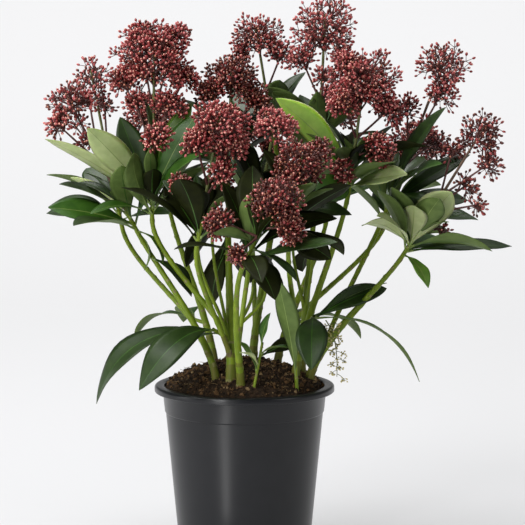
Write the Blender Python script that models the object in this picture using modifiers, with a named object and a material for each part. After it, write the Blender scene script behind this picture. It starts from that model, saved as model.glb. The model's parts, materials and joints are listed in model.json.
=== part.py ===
"""A potted skimmia: a nursery pot of compost, fanned green stems, whorls of leathery leaves and red flower heads.

Metres, +Z up. The origin is the centre of the pot's flat underside, and the plant's front faces -Y.
"""

import math
import random
from typing import NamedTuple

import bmesh
import bpy
from mathutils import Matrix, Vector
from mathutils.bvhtree import BVHTree

MM = 0.001
UP = Vector((0, 0, 1))
GOLDEN_ANGLE = math.radians(137.508)
PIECE_GAP = 0.35 * MM
JOINT_GAP = 0.6 * MM

# The pot, turned about Z. Radii and heights in millimetres.
POT_HEIGHT = 178
RIM_RADIUS = 95
LIP_DEPTH = 7
BASE_RADIUS = 69
WALL_TAPER = 0.095
WALL = 1.8
FLOOR = 2.4
COLLAR_HEIGHT = 150
COLLAR_STEP = 1.0
POT_STEPS = 36
DRAIN_HOLES = 6
DRAIN_RADIUS = 6.5
DRAIN_CIRCLE = 50

# The compost mound, which fills the pot and stands proud of its rim.
MOUND_TOP = 203
MOUND_EDGE = 179
MOUND_RADIUS = 83.8
MOUND_RINGS = 4
COMPOST_GAP = 0.4

# Stems and the leafy twig at the head of each.
STEM_POINTS = 6
STEM_SIDES_RESOLUTION = 1
STEM_SEARCH_STEPS = 240
STEM_BURIED = 12
LATEST_START = 0.4
HEAD_RADIUS = 2.4
ROOT_FLARE = 1.25
FLARE_SHARE = 0.15
TAPER_SHARE = 0.87
STEM_STIFFNESS = 0.25
END_SHARE = 0.008
FORK_RADIUS_SHARE = 0.8
LEAFY_LENGTH = 26
LEAFY_RADIUS = 2.3

# Leaves. Stations are the places along the blade where its width is set.
LEAF_STATIONS = (0.0, 0.24, 0.6, 0.86, 1.0)
PETIOLE_SHARE = 0.07
PETIOLE_HALF_WIDTH = 1.3
BLADE_HALF_THICKNESS = 0.75
BLADE_FOLD = 0.16
LEAF_CLEARANCE = 1.2
OWN_LEAF_CLEAR_FROM = 0.35
LEAF_TRIES = 14

# Whorls: the lowest leaf's length and its lean from the twig, in degrees, and what the topmost loses of each.
LEAF_LENGTH = 98
LENGTH_LOSS = 16
LEAF_LEAN = 66
LEAN_LOSS = 34
LEAN_VARIES = 14
LENGTH_VARIES = (-6, 10)
AZIMUTH_VARIES = 0.9
SHORTER_BY_TRY = 0.03
LEAF_ROLL = 32
LEAF_ARCHES = (0.05, 0.13)
LEAF_DROOPS = (0.02, 0.16)
LEAF_WIDTHS = (30, 37)
WIDTH_AT_LENGTH = 95

# Flower heads: domes of small bud clusters on branching twigs.
CLUSTER_RADIUS = 10.5
DOME_COVER = 1.5
BRANCH_RISE = 0.8
STALK_ABOVE_CENTRE = 0.45
STALK_RADIUS = 1.9
STALK_LOSS = 0.2
STALK_BEND = 0.45
SIDE_STALK_RADII = (1.5, 1.3, 1.1)
SIDE_STALK_RISE = 0.55
SIDE_STALK_REACH = (0.12, 0.7)
TWIG_RADIUS = 1.0
CLUSTER_CLEARANCE = 0.8


class Dome(NamedTuple):
    """One rounded cluster of a flower head: its centre, radii across and along its stalk, and its bud clusters."""

    x: float
    y: float
    z: float
    across: float
    along: float
    clusters: int

    @property
    def centre(self):
        return Vector((self.x, self.y, self.z)) * MM


class Leaf(NamedTuple):
    """A leaf set by hand: its tip, how far it arches as a share of its length, its roll in degrees, its width, and
    how far up the leafy twig it sits, from 0 to 1."""

    x: float
    y: float
    z: float
    arch: float
    roll: float
    width: float
    height: float = 0.3


class Shoot(NamedTuple):
    """A stem with its whorl and flower head. It rises from the compost at foot, or from the stem named parent at
    the height called fork. The first dome crowns the head and the others hang from its side."""

    name: str
    whorl: tuple
    domes: tuple
    foot: tuple = ()
    parent: str = ""
    fork: float = 0
    radius: float = 3.6
    leaves: int = 8
    turn: float = 0
    portraits: tuple = ()


SHOOTS = (
    Shoot("centre", (-17, 20, 398),
          (Dome(-14, 15, 497, 30, 27, 6), Dome(14, 8, 476, 18, 17, 2), Dome(-37, 4, 484, 16, 17, 2)),
          foot=(-13, -55), radius=5.6, turn=40,
          portraits=(Leaf(-50, 55, 468, 0.05, 0, 32, 0.5), Leaf(18, 52, 464, 0.05, 0, 32, 0.6),
                     Leaf(-78, 50, 456, 0.05, -25, 28, 0.3))),
    Shoot("left_low", (-111, -20, 341),
          (Dome(-180, -20, 473, 24, 25, 5), Dome(-192, -30, 451, 14, 14, 2), Dome(-161, -12, 478, 13, 13, 1),
           Dome(-162, -20, 434, 13, 13, 1)),
          foot=(-28, -46), radius=4.2, leaves=7, turn=200,
          portraits=(Leaf(-200, -50, 368, 0.06, -50, 30), Leaf(-182, 0, 396, 0.05, 35, 24, 0.6))),
    Shoot("front", (2, -140, 322),
          (Dome(32, -165, 381, 26, 28, 5), Dome(47, -172, 357, 18, 16, 2), Dome(-22, -150, 361, 19, 18, 2),
           Dome(-5, -170, 331, 12, 9, 1)),
          foot=(-3, -66), radius=4.4, leaves=7, turn=75,
          portraits=(Leaf(-66, -172, 337, 0.1, 0, 25, 0.1), Leaf(90, -194, 346, 0.02, 20, 26, 0.06),
                     Leaf(31, -188, 290, 0.16, 10, 30, 0.06), Leaf(9, -102, 414, 0.04, -10, 32, 0.8))),
    Shoot("left_tall", (-95, -30, 356),
          (Dome(-93, -10, 514, 37, 43, 9), Dome(-109, -6, 545, 17, 16, 2), Dome(-70, -2, 544, 17, 17, 2),
           Dome(-127, -12, 497, 17, 19, 2), Dome(-60, -10, 500, 16, 16, 2), Dome(-76, -25, 474, 21, 17, 2),
           Dome(-112, -20, 474, 15, 14, 1), Dome(-88, -62, 441, 17, 17, 2)),
          parent="centre", fork=34, radius=3.8, turn=150,
          portraits=(Leaf(-203, -45, 438, 0.05, 35, 26, 0.5), Leaf(-157, -74, 450, 0.04, 55, 32, 0.8),
                     Leaf(-109, -104, 426, 0.08, 60, 27, 0.1), Leaf(-128, -22, 460, 0.04, -70, 30, 0.6),
                     Leaf(-41, -78, 424, 0.1, 45, 30, 0.3), Leaf(-48, -34, 464, 0.05, 60, 30, 0.7))),
    Shoot("left_rear", (-131, 35, 342), (Dome(-163, 50, 499, 21, 23, 4), Dome(-149, 42, 470, 14, 13, 1)),
          parent="left_low", fork=40, radius=3.2, leaves=7, turn=110),
    Shoot("front_left", (-47, -85, 331),
          (Dome(-25, -95, 452, 30, 27, 6), Dome(-47, -107, 436, 16, 15, 2), Dome(-5, -101, 432, 14, 14, 1),
           Dome(-21, -98, 407, 16, 16, 2), Dome(-62, -106, 394, 13, 15, 1)),
          parent="centre", fork=16, radius=3.6, turn=10,
          portraits=(Leaf(-60, -58, 398, 0.04, 0, 30, 0.5), Leaf(-30, -48, 386, 0.05, 0, 28, 0.7))),
    Shoot("inner", (14, -55, 361), (Dome(31, -86, 453, 23, 18, 4),),
          parent="front", fork=38, radius=3.2, leaves=6, turn=300,
          portraits=(Leaf(-6, -26, 412, 0.05, 0, 28, 0.5),)),
    Shoot("right", (164, -25, 316),
          (Dome(246, -20, 443, 23, 25, 4), Dome(252, -31, 410, 15, 17, 2), Dome(231, -20, 388, 17, 14, 2),
           Dome(216, -10, 424, 14, 13, 1), Dome(241, -30, 368, 11, 11, 1), Dome(207, -12, 341, 10, 9, 1)),
          foot=(67, -12), radius=4.8, leaves=6, turn=30,
          portraits=(Leaf(211, -60, 385, 0.05, -40, 39, 0.35), Leaf(282, 10, 323, 0.03, 30, 24, 0.2),
                     Leaf(119, -80, 352, 0.14, 20, 24, 0.5), Leaf(188, -62, 287, 0.12, 0, 17, 0.06),
                     Leaf(173, -62, 371, 0.06, -20, 27, 0.6))),
    Shoot("right_tall", (108, -30, 385),
          (Dome(123, -25, 491, 36, 37, 8), Dome(101, -42, 474, 18, 19, 2), Dome(150, -20, 466, 18, 17, 2),
           Dome(106, -24, 516, 15, 14, 1), Dome(138, -60, 428, 20, 16, 2), Dome(101, -56, 406, 14, 16, 1)),
          foot=(53, -22), radius=4.4, turn=250,
          portraits=(Leaf(164, -88, 404, 0.03, 40, 28, 0.1), Leaf(68, -95, 381, 0.12, -50, 32, 0.1))),
    Shoot("tallest", (78, 35, 408),
          (Dome(85, 45, 551, 34, 36, 7), Dome(60, 40, 519, 18, 17, 2), Dome(108, 46, 517, 18, 17, 2),
           Dome(84, 36, 501, 15, 14, 1)),
          foot=(60, 4), radius=4.6, turn=190,
          portraits=(Leaf(30, -20, 486, 0.08, 20, 29, 0.5), Leaf(76, 2, 486, 0.04, 0, 22, 0.6))),
    Shoot("right_rear", (148, 15, 356),
          (Dome(209, 24, 511, 28, 27, 5), Dome(206, 10, 481, 19, 17, 2), Dome(171, 14, 467, 15, 18, 1),
           Dome(200, 32, 430, 20, 18, 2)),
          parent="right", fork=30, radius=3.4, turn=60,
          portraits=(Leaf(208, -22, 470, 0.07, 55, 29, 0.6), Leaf(236, 0, 420, 0.05, 50, 25, 0.3))),
    Shoot("front_right", (46, -105, 342),
          (Dome(57, -120, 414, 27, 27, 5), Dome(38, -129, 394, 14, 14, 1), Dome(76, -108, 430, 14, 13, 1)),
          parent="right_tall", fork=26, radius=3.4, leaves=7, turn=130,
          portraits=(Leaf(40, -62, 410, 0.04, 0, 28, 0.6),)),
    Shoot("rear_tall", (33, 75, 427),
          (Dome(13, 76, 542, 29, 28, 5), Dome(40, 69, 525, 16, 17, 2), Dome(-8, 74, 520, 14, 13, 1)),
          foot=(8, 34), radius=4.8, turn=20),
    Shoot("back_left", (-84, 112, 356), (Dome(-104, 140, 456, 30, 30, 6), Dome(-78, 152, 430, 18, 17, 2)),
          foot=(-32, 26), radius=4.4, turn=90),
    Shoot("back", (6, 146, 352), (Dome(2, 176, 444, 29, 29, 6), Dome(30, 168, 422, 17, 16, 2)),
          parent="rear_tall", fork=30, radius=3.6, turn=220),
    Shoot("back_right", (92, 122, 354), (Dome(100, 150, 462, 30, 31, 6), Dome(76, 160, 438, 17, 16, 2)),
          foot=(34, 42), radius=4.4, turn=310),
    Shoot("back_far_right", (152, 84, 338), (Dome(190, 108, 430, 26, 26, 5), Dome(172, 118, 408, 16, 15, 2)),
          parent="back_right", fork=30, radius=3.4, leaves=7, turn=170),
)


class LowSpray(NamedTuple):
    """A short leafy twig near the compost, with no flower head. It starts at foot in the compost, or on the stem
    named parent at the height called fork, and ends at tip."""

    name: str
    tip: tuple
    leaves: tuple
    foot: tuple = ()
    parent: str = ""
    fork: float = 0
    radius: float = 2.0


LOW_SPRAYS = (
    LowSpray("low_left", (-32, -56, 244),
             (Leaf(-105, -102, 188, 0.34, -42, 35, 0.9), Leaf(-152, -54, 166, 0.28, -38, 33, 0.9),
              Leaf(-66, -62, 219, 0.12, 0, 20, 0.7)),
             parent="centre", fork=36),
    LowSpray("low_right", (72, -46, 256),
             (Leaf(68, -98, 208, 0.24, 0, 33, 0.9), Leaf(184, -12, 182, 0.18, 0, 20, 0.8),
              Leaf(150, 2, 285, 0.05, 0, 22, 0.6)),
             parent="right_tall", fork=52),
    LowSpray("front_leaf", (53, -59, 206), (Leaf(34, -92, 300, 0.03, 0, 26, 0.7),), foot=(55, -56)),
    LowSpray("sprig", (19, -68, 232),
             (Leaf(27, -66, 262, 0.06, 15, 18, 0.9), Leaf(44, -84, 229, 0.1, 0, 16, 0.8),
              Leaf(-4, -100, 226, 0.1, 0, 11, 0.6)),
             foot=(8, -72), radius=1.6),
    LowSpray("low_back_left", (-58, 60, 240),
             (Leaf(-122, 92, 214, 0.2, 0, 29, 0.9), Leaf(-70, 132, 226, 0.18, 0, 27, 0.8)),
             parent="back_left", fork=40),
    LowSpray("low_back_right", (62, 66, 236),
             (Leaf(128, 100, 212, 0.2, 0, 29, 0.9), Leaf(52, 152, 214, 0.2, 0, 28, 0.8)),
             parent="back_right", fork=40),
)


def point(xyz):
    return Vector(xyz) * MM


def new_material(name, colour, roughness):
    material = bpy.data.materials.new(name)
    material.use_nodes = True
    shader = material.node_tree.nodes["Principled BSDF"]
    shader.inputs["Base Color"].default_value = (*colour, 1)
    shader.inputs["Roughness"].default_value = roughness
    shader.inputs["Metallic"].default_value = 0
    return material


def clear_scene():
    for thing in list(bpy.data.objects):
        bpy.data.objects.remove(thing)


def new_collection(name):
    collection = bpy.data.collections.new(name)
    bpy.context.scene.collection.children.link(collection)
    return collection


def object_from_bmesh(bm, name, collection):
    mesh = bpy.data.meshes.new(name)
    bm.to_mesh(mesh)
    bm.free()
    thing = bpy.data.objects.new(name, mesh)
    collection.objects.link(thing)
    return thing


def apply_modifiers(thing):
    """Replaces the object's mesh with the evaluated one, so that its modifiers are part of it."""
    graph = bpy.context.evaluated_depsgraph_get()
    mesh = bpy.data.meshes.new_from_object(thing.evaluated_get(graph))
    thing.modifiers.clear()
    thing.data = mesh


# The pot and its compost

def wall_radius(height):
    return BASE_RADIUS + WALL_TAPER * height


def pot_profile():
    """The pot's section from the middle of the underside, up the outside, over the rolled lip and down inside."""
    collar_foot = COLLAR_HEIGHT - COLLAR_STEP
    lip_foot = POT_HEIGHT - LIP_DEPTH
    neck = wall_radius(lip_foot) + COLLAR_STEP
    mouth = neck - WALL
    return [
        (0, 0),
        (BASE_RADIUS - 1.5, 0),
        (BASE_RADIUS, 1.5),
        (wall_radius(collar_foot), collar_foot),
        (wall_radius(COLLAR_HEIGHT) + COLLAR_STEP, COLLAR_HEIGHT),
        (neck, lip_foot),
        (RIM_RADIUS - 1.2, lip_foot),
        (RIM_RADIUS, lip_foot + 1.5),
        (RIM_RADIUS, POT_HEIGHT - 1.8),
        (RIM_RADIUS - 2, POT_HEIGHT),
        (mouth + 1.2, POT_HEIGHT),
        (mouth, POT_HEIGHT - 1.2),
        (wall_radius(COLLAR_HEIGHT) + COLLAR_STEP - WALL, COLLAR_HEIGHT),
        (wall_radius(FLOOR) - WALL, FLOOR),
        (0, FLOOR),
    ]


def turned(name, profile, collection):
    """A solid turned about Z from a profile of (radius, height), listed from the bottom up the outside."""
    bm = bmesh.new()
    points = [bm.verts.new((radius * MM, 0, height * MM)) for radius, height in profile]
    for first, second in zip(points, points[1:]):
        bm.edges.new((first, second))
    thing = object_from_bmesh(bm, name, collection)
    screw = thing.modifiers.new("Turn", "SCREW")
    screw.steps = screw.render_steps = POT_STEPS
    screw.use_merge_vertices = True
    screw.merge_threshold = 0.01 * MM
    screw.use_normal_calculate = True
    apply_modifiers(thing)
    return thing


def turn_faces_out(bm):
    bmesh.ops.recalc_face_normals(bm, faces=bm.faces)
    if bm.calc_volume(signed=True) < 0:
        bmesh.ops.reverse_faces(bm, faces=bm.faces)


def face_outwards(thing):
    bm = bmesh.new()
    bm.from_mesh(thing.data)
    bmesh.ops.remove_doubles(bm, verts=bm.verts, dist=0.01 * MM)
    turn_faces_out(bm)
    bm.to_mesh(thing.data)
    bm.free()


def shade_round(thing, angle=35):
    thing.data.shade_smooth()
    thing.data.set_sharp_from_angle(angle=math.radians(angle))


def build_pot(collection, cutters, material):
    pot = turned("pot", pot_profile(), collection)
    face_outwards(pot)
    for i in range(DRAIN_HOLES):
        angle = 2 * math.pi * i / DRAIN_HOLES
        centre = Vector((math.cos(angle) * DRAIN_CIRCLE, math.sin(angle) * DRAIN_CIRCLE, FLOOR / 2)) * MM
        bm = bmesh.new()
        bmesh.ops.create_cone(bm, cap_ends=True, segments=10, radius1=DRAIN_RADIUS * MM,
                              radius2=DRAIN_RADIUS * MM, depth=3 * FLOOR * MM, matrix=Matrix.Translation(centre))
        hole = object_from_bmesh(bm, f"drain_hole_{i + 1}", cutters)
        hole.hide_render = True
        hole.display_type = "WIRE"
    cut = pot.modifiers.new("Drain holes", "BOOLEAN")
    cut.operand_type = "COLLECTION"
    cut.collection = cutters
    cut.operation = "DIFFERENCE"
    cut.solver = "EXACT"
    apply_modifiers(pot)
    for hole in list(cutters.objects):
        bpy.data.objects.remove(hole)
    shade_round(pot)
    pot.data.materials.clear()
    pot.data.materials.append(material)
    return pot


def mound_height(radius):
    """Height of the compost's surface at this distance from the pot's axis, in millimetres."""
    share = min(radius / MOUND_RADIUS, 1)
    return MOUND_EDGE + (MOUND_TOP - MOUND_EDGE) * (1 - share * share)


def build_compost(collection, material):
    foot = FLOOR + COMPOST_GAP
    inset = WALL + COMPOST_GAP
    rings = [MOUND_RADIUS * (1 - i / MOUND_RINGS) for i in range(1, MOUND_RINGS)]
    profile = [
        (0, foot),
        (wall_radius(foot) - inset - 0.5, foot),
        (wall_radius(COLLAR_HEIGHT) - inset, COLLAR_HEIGHT),
        (MOUND_RADIUS, mound_height(MOUND_RADIUS) - 5),
        (MOUND_RADIUS, mound_height(MOUND_RADIUS)),
        *((radius, mound_height(radius)) for radius in rings),
        (0, mound_height(0)),
    ]
    compost = turned("compost", profile, collection)
    face_outwards(compost)
    shade_round(compost)
    compost.data.materials.append(material)
    return compost


# Curves that stems, stalks and leaves follow

def along(points, share):
    """The point at share, from 0 to 1, along a Bezier curve with these control points."""
    while len(points) > 1:
        points = [a.lerp(b, share) for a, b in zip(points, points[1:])]
    return points[0]


def heading(points, share):
    step = 0.01
    ahead = along(points, min(share + step, 1))
    behind = along(points, max(share - step, 0))
    return (ahead - behind).normalized()


def tube(name, points, radii, resolution, collection):
    """A closed tapering tube through the points, as a mesh."""
    curve = bpy.data.curves.new(name, "CURVE")
    curve.dimensions = "3D"
    curve.bevel_depth = 1
    curve.bevel_resolution = resolution
    curve.use_fill_caps = True
    spline = curve.splines.new("POLY")
    spline.points.add(len(points) - 1)
    for knot, place, radius in zip(spline.points, points, radii):
        knot.co = (*place, 1)
        knot.radius = radius
    guide = bpy.data.objects.new(name + "_guide", curve)
    collection.objects.link(guide)
    graph = bpy.context.evaluated_depsgraph_get()
    mesh = bpy.data.meshes.new_from_object(guide.evaluated_get(graph))
    thing = bpy.data.objects.new(name, mesh)
    thing.matrix_world = guide.matrix_world
    collection.objects.link(thing)
    bpy.data.objects.remove(guide)
    face_outwards(thing)
    return thing


# Stems

class Stem(NamedTuple):
    """A stem's curve, the share of it that lies inside what carries it, and its radius at any share."""

    shoot: Shoot
    controls: list
    start: float

    def radius(self, share):
        return stem_radius(self.shoot, share)

    def at_height(self, rise):
        """The share of the curve that is this far, in millimetres, above the stem's start."""
        start = along(self.controls, self.start).z
        shares = [i / STEM_SEARCH_STEPS for i in range(STEM_SEARCH_STEPS + 1)]
        return min(shares, key=lambda share: abs(along(self.controls, share).z - start - rise * MM))


def stem_radius(shoot, share):
    """The stem's radius at share of its length: a root flare at the compost, then an even taper."""
    foot = shoot.radius * (1 if shoot.foot else FORK_RADIUS_SHARE)
    flare = 1 + (ROOT_FLARE - 1) * max(0, 1 - share / FLARE_SHARE) if shoot.foot else 1
    return (foot + (HEAD_RADIUS - foot) * min(1, share / TAPER_SHARE)) * flare * MM


def crown_heading(shoot):
    return (shoot.domes[0].centre - point(shoot.whorl)).normalized()


def buried_foot(foot):
    """A point under this foot, in the compost, for a stem to come up from."""
    return point((*foot, mound_height(math.hypot(*foot)) - STEM_BURIED))


def rim_of(controls, share, radius):
    """Points round the stem at share of its curve."""
    turn_axis = heading(controls, share)
    across = turn_axis.orthogonal().normalized() * radius
    steps = 16
    return [along(controls, share) + Matrix.Rotation(math.tau * i / steps, 3, turn_axis) @ across
            for i in range(steps)]


def is_clear(controls, share, radius, trees):
    """True if the rim of a tube along the curve is PIECE_GAP clear of these surfaces at this share of it."""
    return all(tree.find_nearest(place, PIECE_GAP)[3] is None
               for place in rim_of(controls, share, radius) for tree in trees)


def clear_start(controls, radius_at, trees):
    """The share of a curve from which a tube along it is PIECE_GAP clear of these surfaces, found from its end."""
    high = 1
    while high > 0 and is_clear(controls, high, radius_at(high), trees):
        high -= 1 / STEM_SEARCH_STEPS
    low, high = high, min(1, high + 1 / STEM_SEARCH_STEPS)
    for _ in range(5):
        middle = (low + high) / 2
        if is_clear(controls, middle, radius_at(middle), trees):
            high = middle
        else:
            low = middle
    return high


def grow_stem(shoot, stems, placed):
    """The stem's curve to its whorl, from where it comes clear of the compost or of its parent."""
    whorl = point(shoot.whorl)
    if shoot.foot:
        root = buried_foot(shoot.foot)
        rise = UP
    else:
        parent = stems[shoot.parent]
        root = along(parent.controls, parent.at_height(shoot.fork))
        rise = ((whorl - root).normalized() * 2 + UP).normalized()
    reach = (whorl - root).length * STEM_STIFFNESS
    controls = [root, root + rise * reach, whorl - crown_heading(shoot) * reach, whorl]
    start = clear_start(controls, lambda share: stem_radius(shoot, share), placed.trees())
    if start > LATEST_START:
        raise ValueError(f"stem {shoot.name} runs into another one {start:.0%} of the way up")
    return Stem(shoot, controls, start)


def spray_start(spray, stems, placed):
    """Where a low spray's twig starts: just clear of the compost or of the side of its parent stem."""
    if spray.foot:
        root = buried_foot(spray.foot)
    else:
        parent = stems[spray.parent]
        root = along(parent.controls, parent.at_height(spray.fork))
    controls = [root, point(spray.tip)]
    start = clear_start(controls, lambda share: spray.radius * MM, placed.trees())
    return along(controls, start)


def build_stem(stem, collection, material):
    """The stem's tube. A short first and last stretch turn its flat ends square to it."""
    inner = [stem.start + (1 - stem.start) * i / (STEM_POINTS - 1) for i in range(STEM_POINTS)]
    shares = [inner[0], inner[0] + END_SHARE, *inner[1:-1], 1 - END_SHARE, 1]
    thing = tube(f"stem_{stem.shoot.name}", [along(stem.controls, share) for share in shares],
                 [stem.radius(share) for share in shares], STEM_SIDES_RESOLUTION, collection)
    shade_round(thing, 60)
    thing.data.materials.append(material)
    return thing


# Placed shapes, and whether a new one is clear of them

class Placed:
    """Every shape placed so far, with its owner, so that a new one can be kept clear of the others."""

    def __init__(self):
        self.shapes = []

    def trees(self):
        return [shape[2] for shape in self.shapes]

    def add(self, owner, kind, tree, low, high):
        self.shapes.append((owner, kind, tree, low, high))

    def add_bmesh(self, owner, kind, bm):
        self.add(owner, kind, BVHTree.FromBMesh(bm), *box_of(bm))

    def add_object(self, owner, kind, thing):
        bm = bmesh.new()
        bm.from_mesh(thing.data)
        self.add_bmesh(owner, kind, bm)
        bm.free()

    def clear_of(self, bm, skip):
        """True if the shape meets none of those placed, apart from the ones that skip(owner, kind) accepts."""
        tree = BVHTree.FromBMesh(bm)
        low, high = box_of(bm)
        for owner, kind, other, other_low, other_high in self.shapes:
            apart = any(low[k] > other_high[k] or high[k] < other_low[k] for k in range(3))
            if not apart and not skip(owner, kind) and tree.overlap(other):
                return False
        return True


def box_of(bm):
    corners = list(zip(*(vertex.co for vertex in bm.verts)))
    return Vector(map(min, corners)), Vector(map(max, corners))


def fuse(base, pieces):
    """Joins a collection's objects to base in one union, and removes them."""
    join = base.modifiers.new("Fuse", "BOOLEAN")
    join.operand_type = "COLLECTION"
    join.collection = pieces
    join.operation = "UNION"
    join.solver = "MANIFOLD"
    apply_modifiers(base)
    for piece in list(pieces.objects):
        bpy.data.objects.remove(piece)


# Leaves

def half_width(share, width):
    """Half the blade's width at share of its length: a short petiole, widest past the middle, a blunt point."""
    blade = max(0, (share - PETIOLE_SHARE) / (1 - PETIOLE_SHARE))
    swell = max(0, math.sin(math.pi * blade ** 1.3)) ** 0.85
    return max(swell * width / 2, PETIOLE_HALF_WIDTH * (1 - blade) * MM)


class Blade:
    """A leaf in space: an arched curve from its root to its tip, and the way that lies straight across it."""

    def __init__(self, root, tip, arch, roll, width):
        chord = tip - root
        outwards = Vector((chord.x, chord.y, 0))
        if outwards.length < 0.25 * chord.length:
            outwards = Vector((root.x, root.y, 0))
        looks = UP - 0.6 * outwards.normalized()
        looks.rotate(Matrix.Rotation(math.radians(roll), 3, chord))
        along_chord = chord.normalized()
        lift = (looks - looks.dot(along_chord) * along_chord).normalized()
        middle = (root + tip) / 2 + lift * (2 * arch * chord.length)
        self.controls = [root, middle, tip]
        self.side = along_chord.cross(lift)
        self.width = width

    def place(self, share, across, proud):
        """A point at share of the length, across the blade from -1 to 1, and proud of its face by so much."""
        face = self.side.cross(heading(self.controls, share))
        half = half_width(share, self.width) * across
        return along(self.controls, share) + self.side * half + face * (abs(half) * BLADE_FOLD + proud)


def leaf_cage(blade, grow=0, start=0):
    """A leaf as a four-sided sphere drawn out along its midrib. It is fattened by grow, and begins at start. Its upper
    and lower faces are split along the same diagonals, so that they keep apart however far the leaf arches."""
    bm = bmesh.new()
    rings = len(LEAF_STATIONS) - 1
    bmesh.ops.create_uvsphere(bm, u_segments=4, v_segments=rings, radius=1)
    thick = (BLADE_HALF_THICKNESS + grow) * MM
    ring_of = {vertex: round(math.acos(max(-1, min(1, vertex.co.z))) / math.pi * rings) for vertex in bm.verts}
    at_edge = {vertex: abs(vertex.co.x) > abs(vertex.co.y) for vertex in bm.verts}
    for vertex, ring in ring_of.items():
        share = start + (1 - start) * LEAF_STATIONS[ring]
        level = math.hypot(vertex.co.x, vertex.co.y)
        around = Vector((vertex.co.x, vertex.co.y)) / max(level, 1e-6) if level > 0.1 else Vector((0, 0))
        widen = 1 + grow * MM / max(half_width(share, blade.width), 2 * MM)
        vertex.co = blade.place(share, around.x * widen, around.y * thick)
    for face in [face for face in bm.faces if len(face.verts) == 4]:
        edge_corner = min((v for v in face.verts if at_edge[v]), key=ring_of.get)
        rib_corner = max((v for v in face.verts if not at_edge[v]), key=ring_of.get)
        bmesh.utils.face_split(face, edge_corner, rib_corner)
    turn_faces_out(bm)
    return bm


def try_leaf(blade, owner, placed, pieces):
    """Adds the leaf if it is clear of every other limb and mass, and of its own whorl away from the stem."""
    whole = leaf_cage(blade, LEAF_CLEARANCE)
    outer = leaf_cage(blade, LEAF_CLEARANCE, OWN_LEAF_CLEAR_FROM)
    free = placed.clear_of(whole, lambda o, kind: o == owner) and placed.clear_of(
        outer, lambda o, kind: o != owner or kind == "twig")
    whole.free()
    if free:
        placed.add_bmesh(owner, "leaf", outer)
        bm = leaf_cage(blade)
        placed.add_bmesh(owner, "root", bm)
        object_from_bmesh(bm, "leaf", pieces)
    outer.free()
    return free


def whorl_blade(shoot, i, attempt, foot, axis, rng):
    """The i-th leaf of a whorl: round by the golden angle, the lower ones longer and flatter."""
    level = i / max(1, shoot.leaves - 1)
    sway = rng.uniform(-AZIMUTH_VARIES, AZIMUTH_VARIES) * attempt / LEAF_TRIES
    azimuth = math.radians(shoot.turn) + i * GOLDEN_ANGLE + sway
    lean = math.radians(LEAF_LEAN - LEAN_LOSS * level + rng.uniform(-LEAN_VARIES, LEAN_VARIES) * attempt / 3)
    length = LEAF_LENGTH - LENGTH_LOSS * level + rng.uniform(*LENGTH_VARIES)
    length *= (1 - SHORTER_BY_TRY * attempt) * MM
    width = rng.uniform(*LEAF_WIDTHS) * length / WIDTH_AT_LENGTH
    sideways = axis.orthogonal().normalized()
    sideways.rotate(Matrix.Rotation(azimuth, 3, axis))
    towards = axis * math.cos(lean) + sideways * math.sin(lean)
    root = foot + axis * ((0.12 + 0.7 * level) * LEAFY_LENGTH * MM)
    droop = UP * (-length * rng.uniform(*LEAF_DROOPS))
    arch = rng.uniform(*LEAF_ARCHES)
    roll = rng.uniform(-LEAF_ROLL, LEAF_ROLL)
    return Blade(root, root + towards * length + droop, arch, roll, width)


def grow_whorl(shoot, placed, pieces):
    owner = f"leaves_{shoot.name}"
    rng = random.Random(owner)
    axis = crown_heading(shoot)
    foot = point(shoot.whorl) + axis * JOINT_GAP
    count = 0
    for i in range(shoot.leaves):
        for attempt in range(LEAF_TRIES):
            if try_leaf(whorl_blade(shoot, i, attempt, foot, axis, rng), owner, placed, pieces):
                count += 1
                break
    return count


def grow_portraits(owner, leaves, foot, top, placed, pieces):
    missed = [leaf for leaf in leaves
              if not try_leaf(Blade(foot.lerp(top, leaf.height), point((leaf.x, leaf.y, leaf.z)), leaf.arch,
                                    leaf.roll, leaf.width * MM), owner, placed, pieces)]
    for leaf in missed:
        print("left out of", owner, leaf)


# Flower heads

def cluster_sites(dome, axis, turn):
    """Where a dome's bud clusters sit: spread evenly over it by the golden angle, from its crown down."""
    spin = UP.rotation_difference(axis).to_matrix()
    shell = Vector((dome.across - CLUSTER_RADIUS, dome.across - CLUSTER_RADIUS, dome.along - CLUSTER_RADIUS))
    sites = []
    for i in range(dome.clusters):
        polar = math.acos(1 - (i + 0.5) / dome.clusters * DOME_COVER)
        azimuth = turn + i * GOLDEN_ANGLE
        offset = Vector((math.sin(polar) * math.cos(azimuth), math.sin(polar) * math.sin(azimuth), math.cos(polar)))
        offset = Vector(max(s, 3) * o for s, o in zip(shell, offset)) * MM
        sites.append((dome.centre + spin @ offset, offset))
    return sites


def stick(start, end, start_radius, end_radius):
    """A straight three-sided twig."""
    bm = bmesh.new()
    span = end - start
    turn = UP.rotation_difference(span).to_matrix().to_4x4()
    bmesh.ops.create_cone(bm, cap_ends=True, segments=3, radius1=start_radius, radius2=end_radius,
                          depth=span.length, matrix=Matrix.Translation((start + end) / 2) @ turn)
    return bm


def cluster(centre, rng, grow=0):
    """A knot of buds, as an uneven ten-sided ball."""
    bm = bmesh.new()
    bmesh.ops.create_uvsphere(bm, u_segments=5, v_segments=2, radius=1)
    for vertex in bm.verts:
        vertex.co = centre + vertex.co * ((CLUSTER_RADIUS * rng.uniform(0.9, 1.1) + grow) * MM)
    return bm


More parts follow.
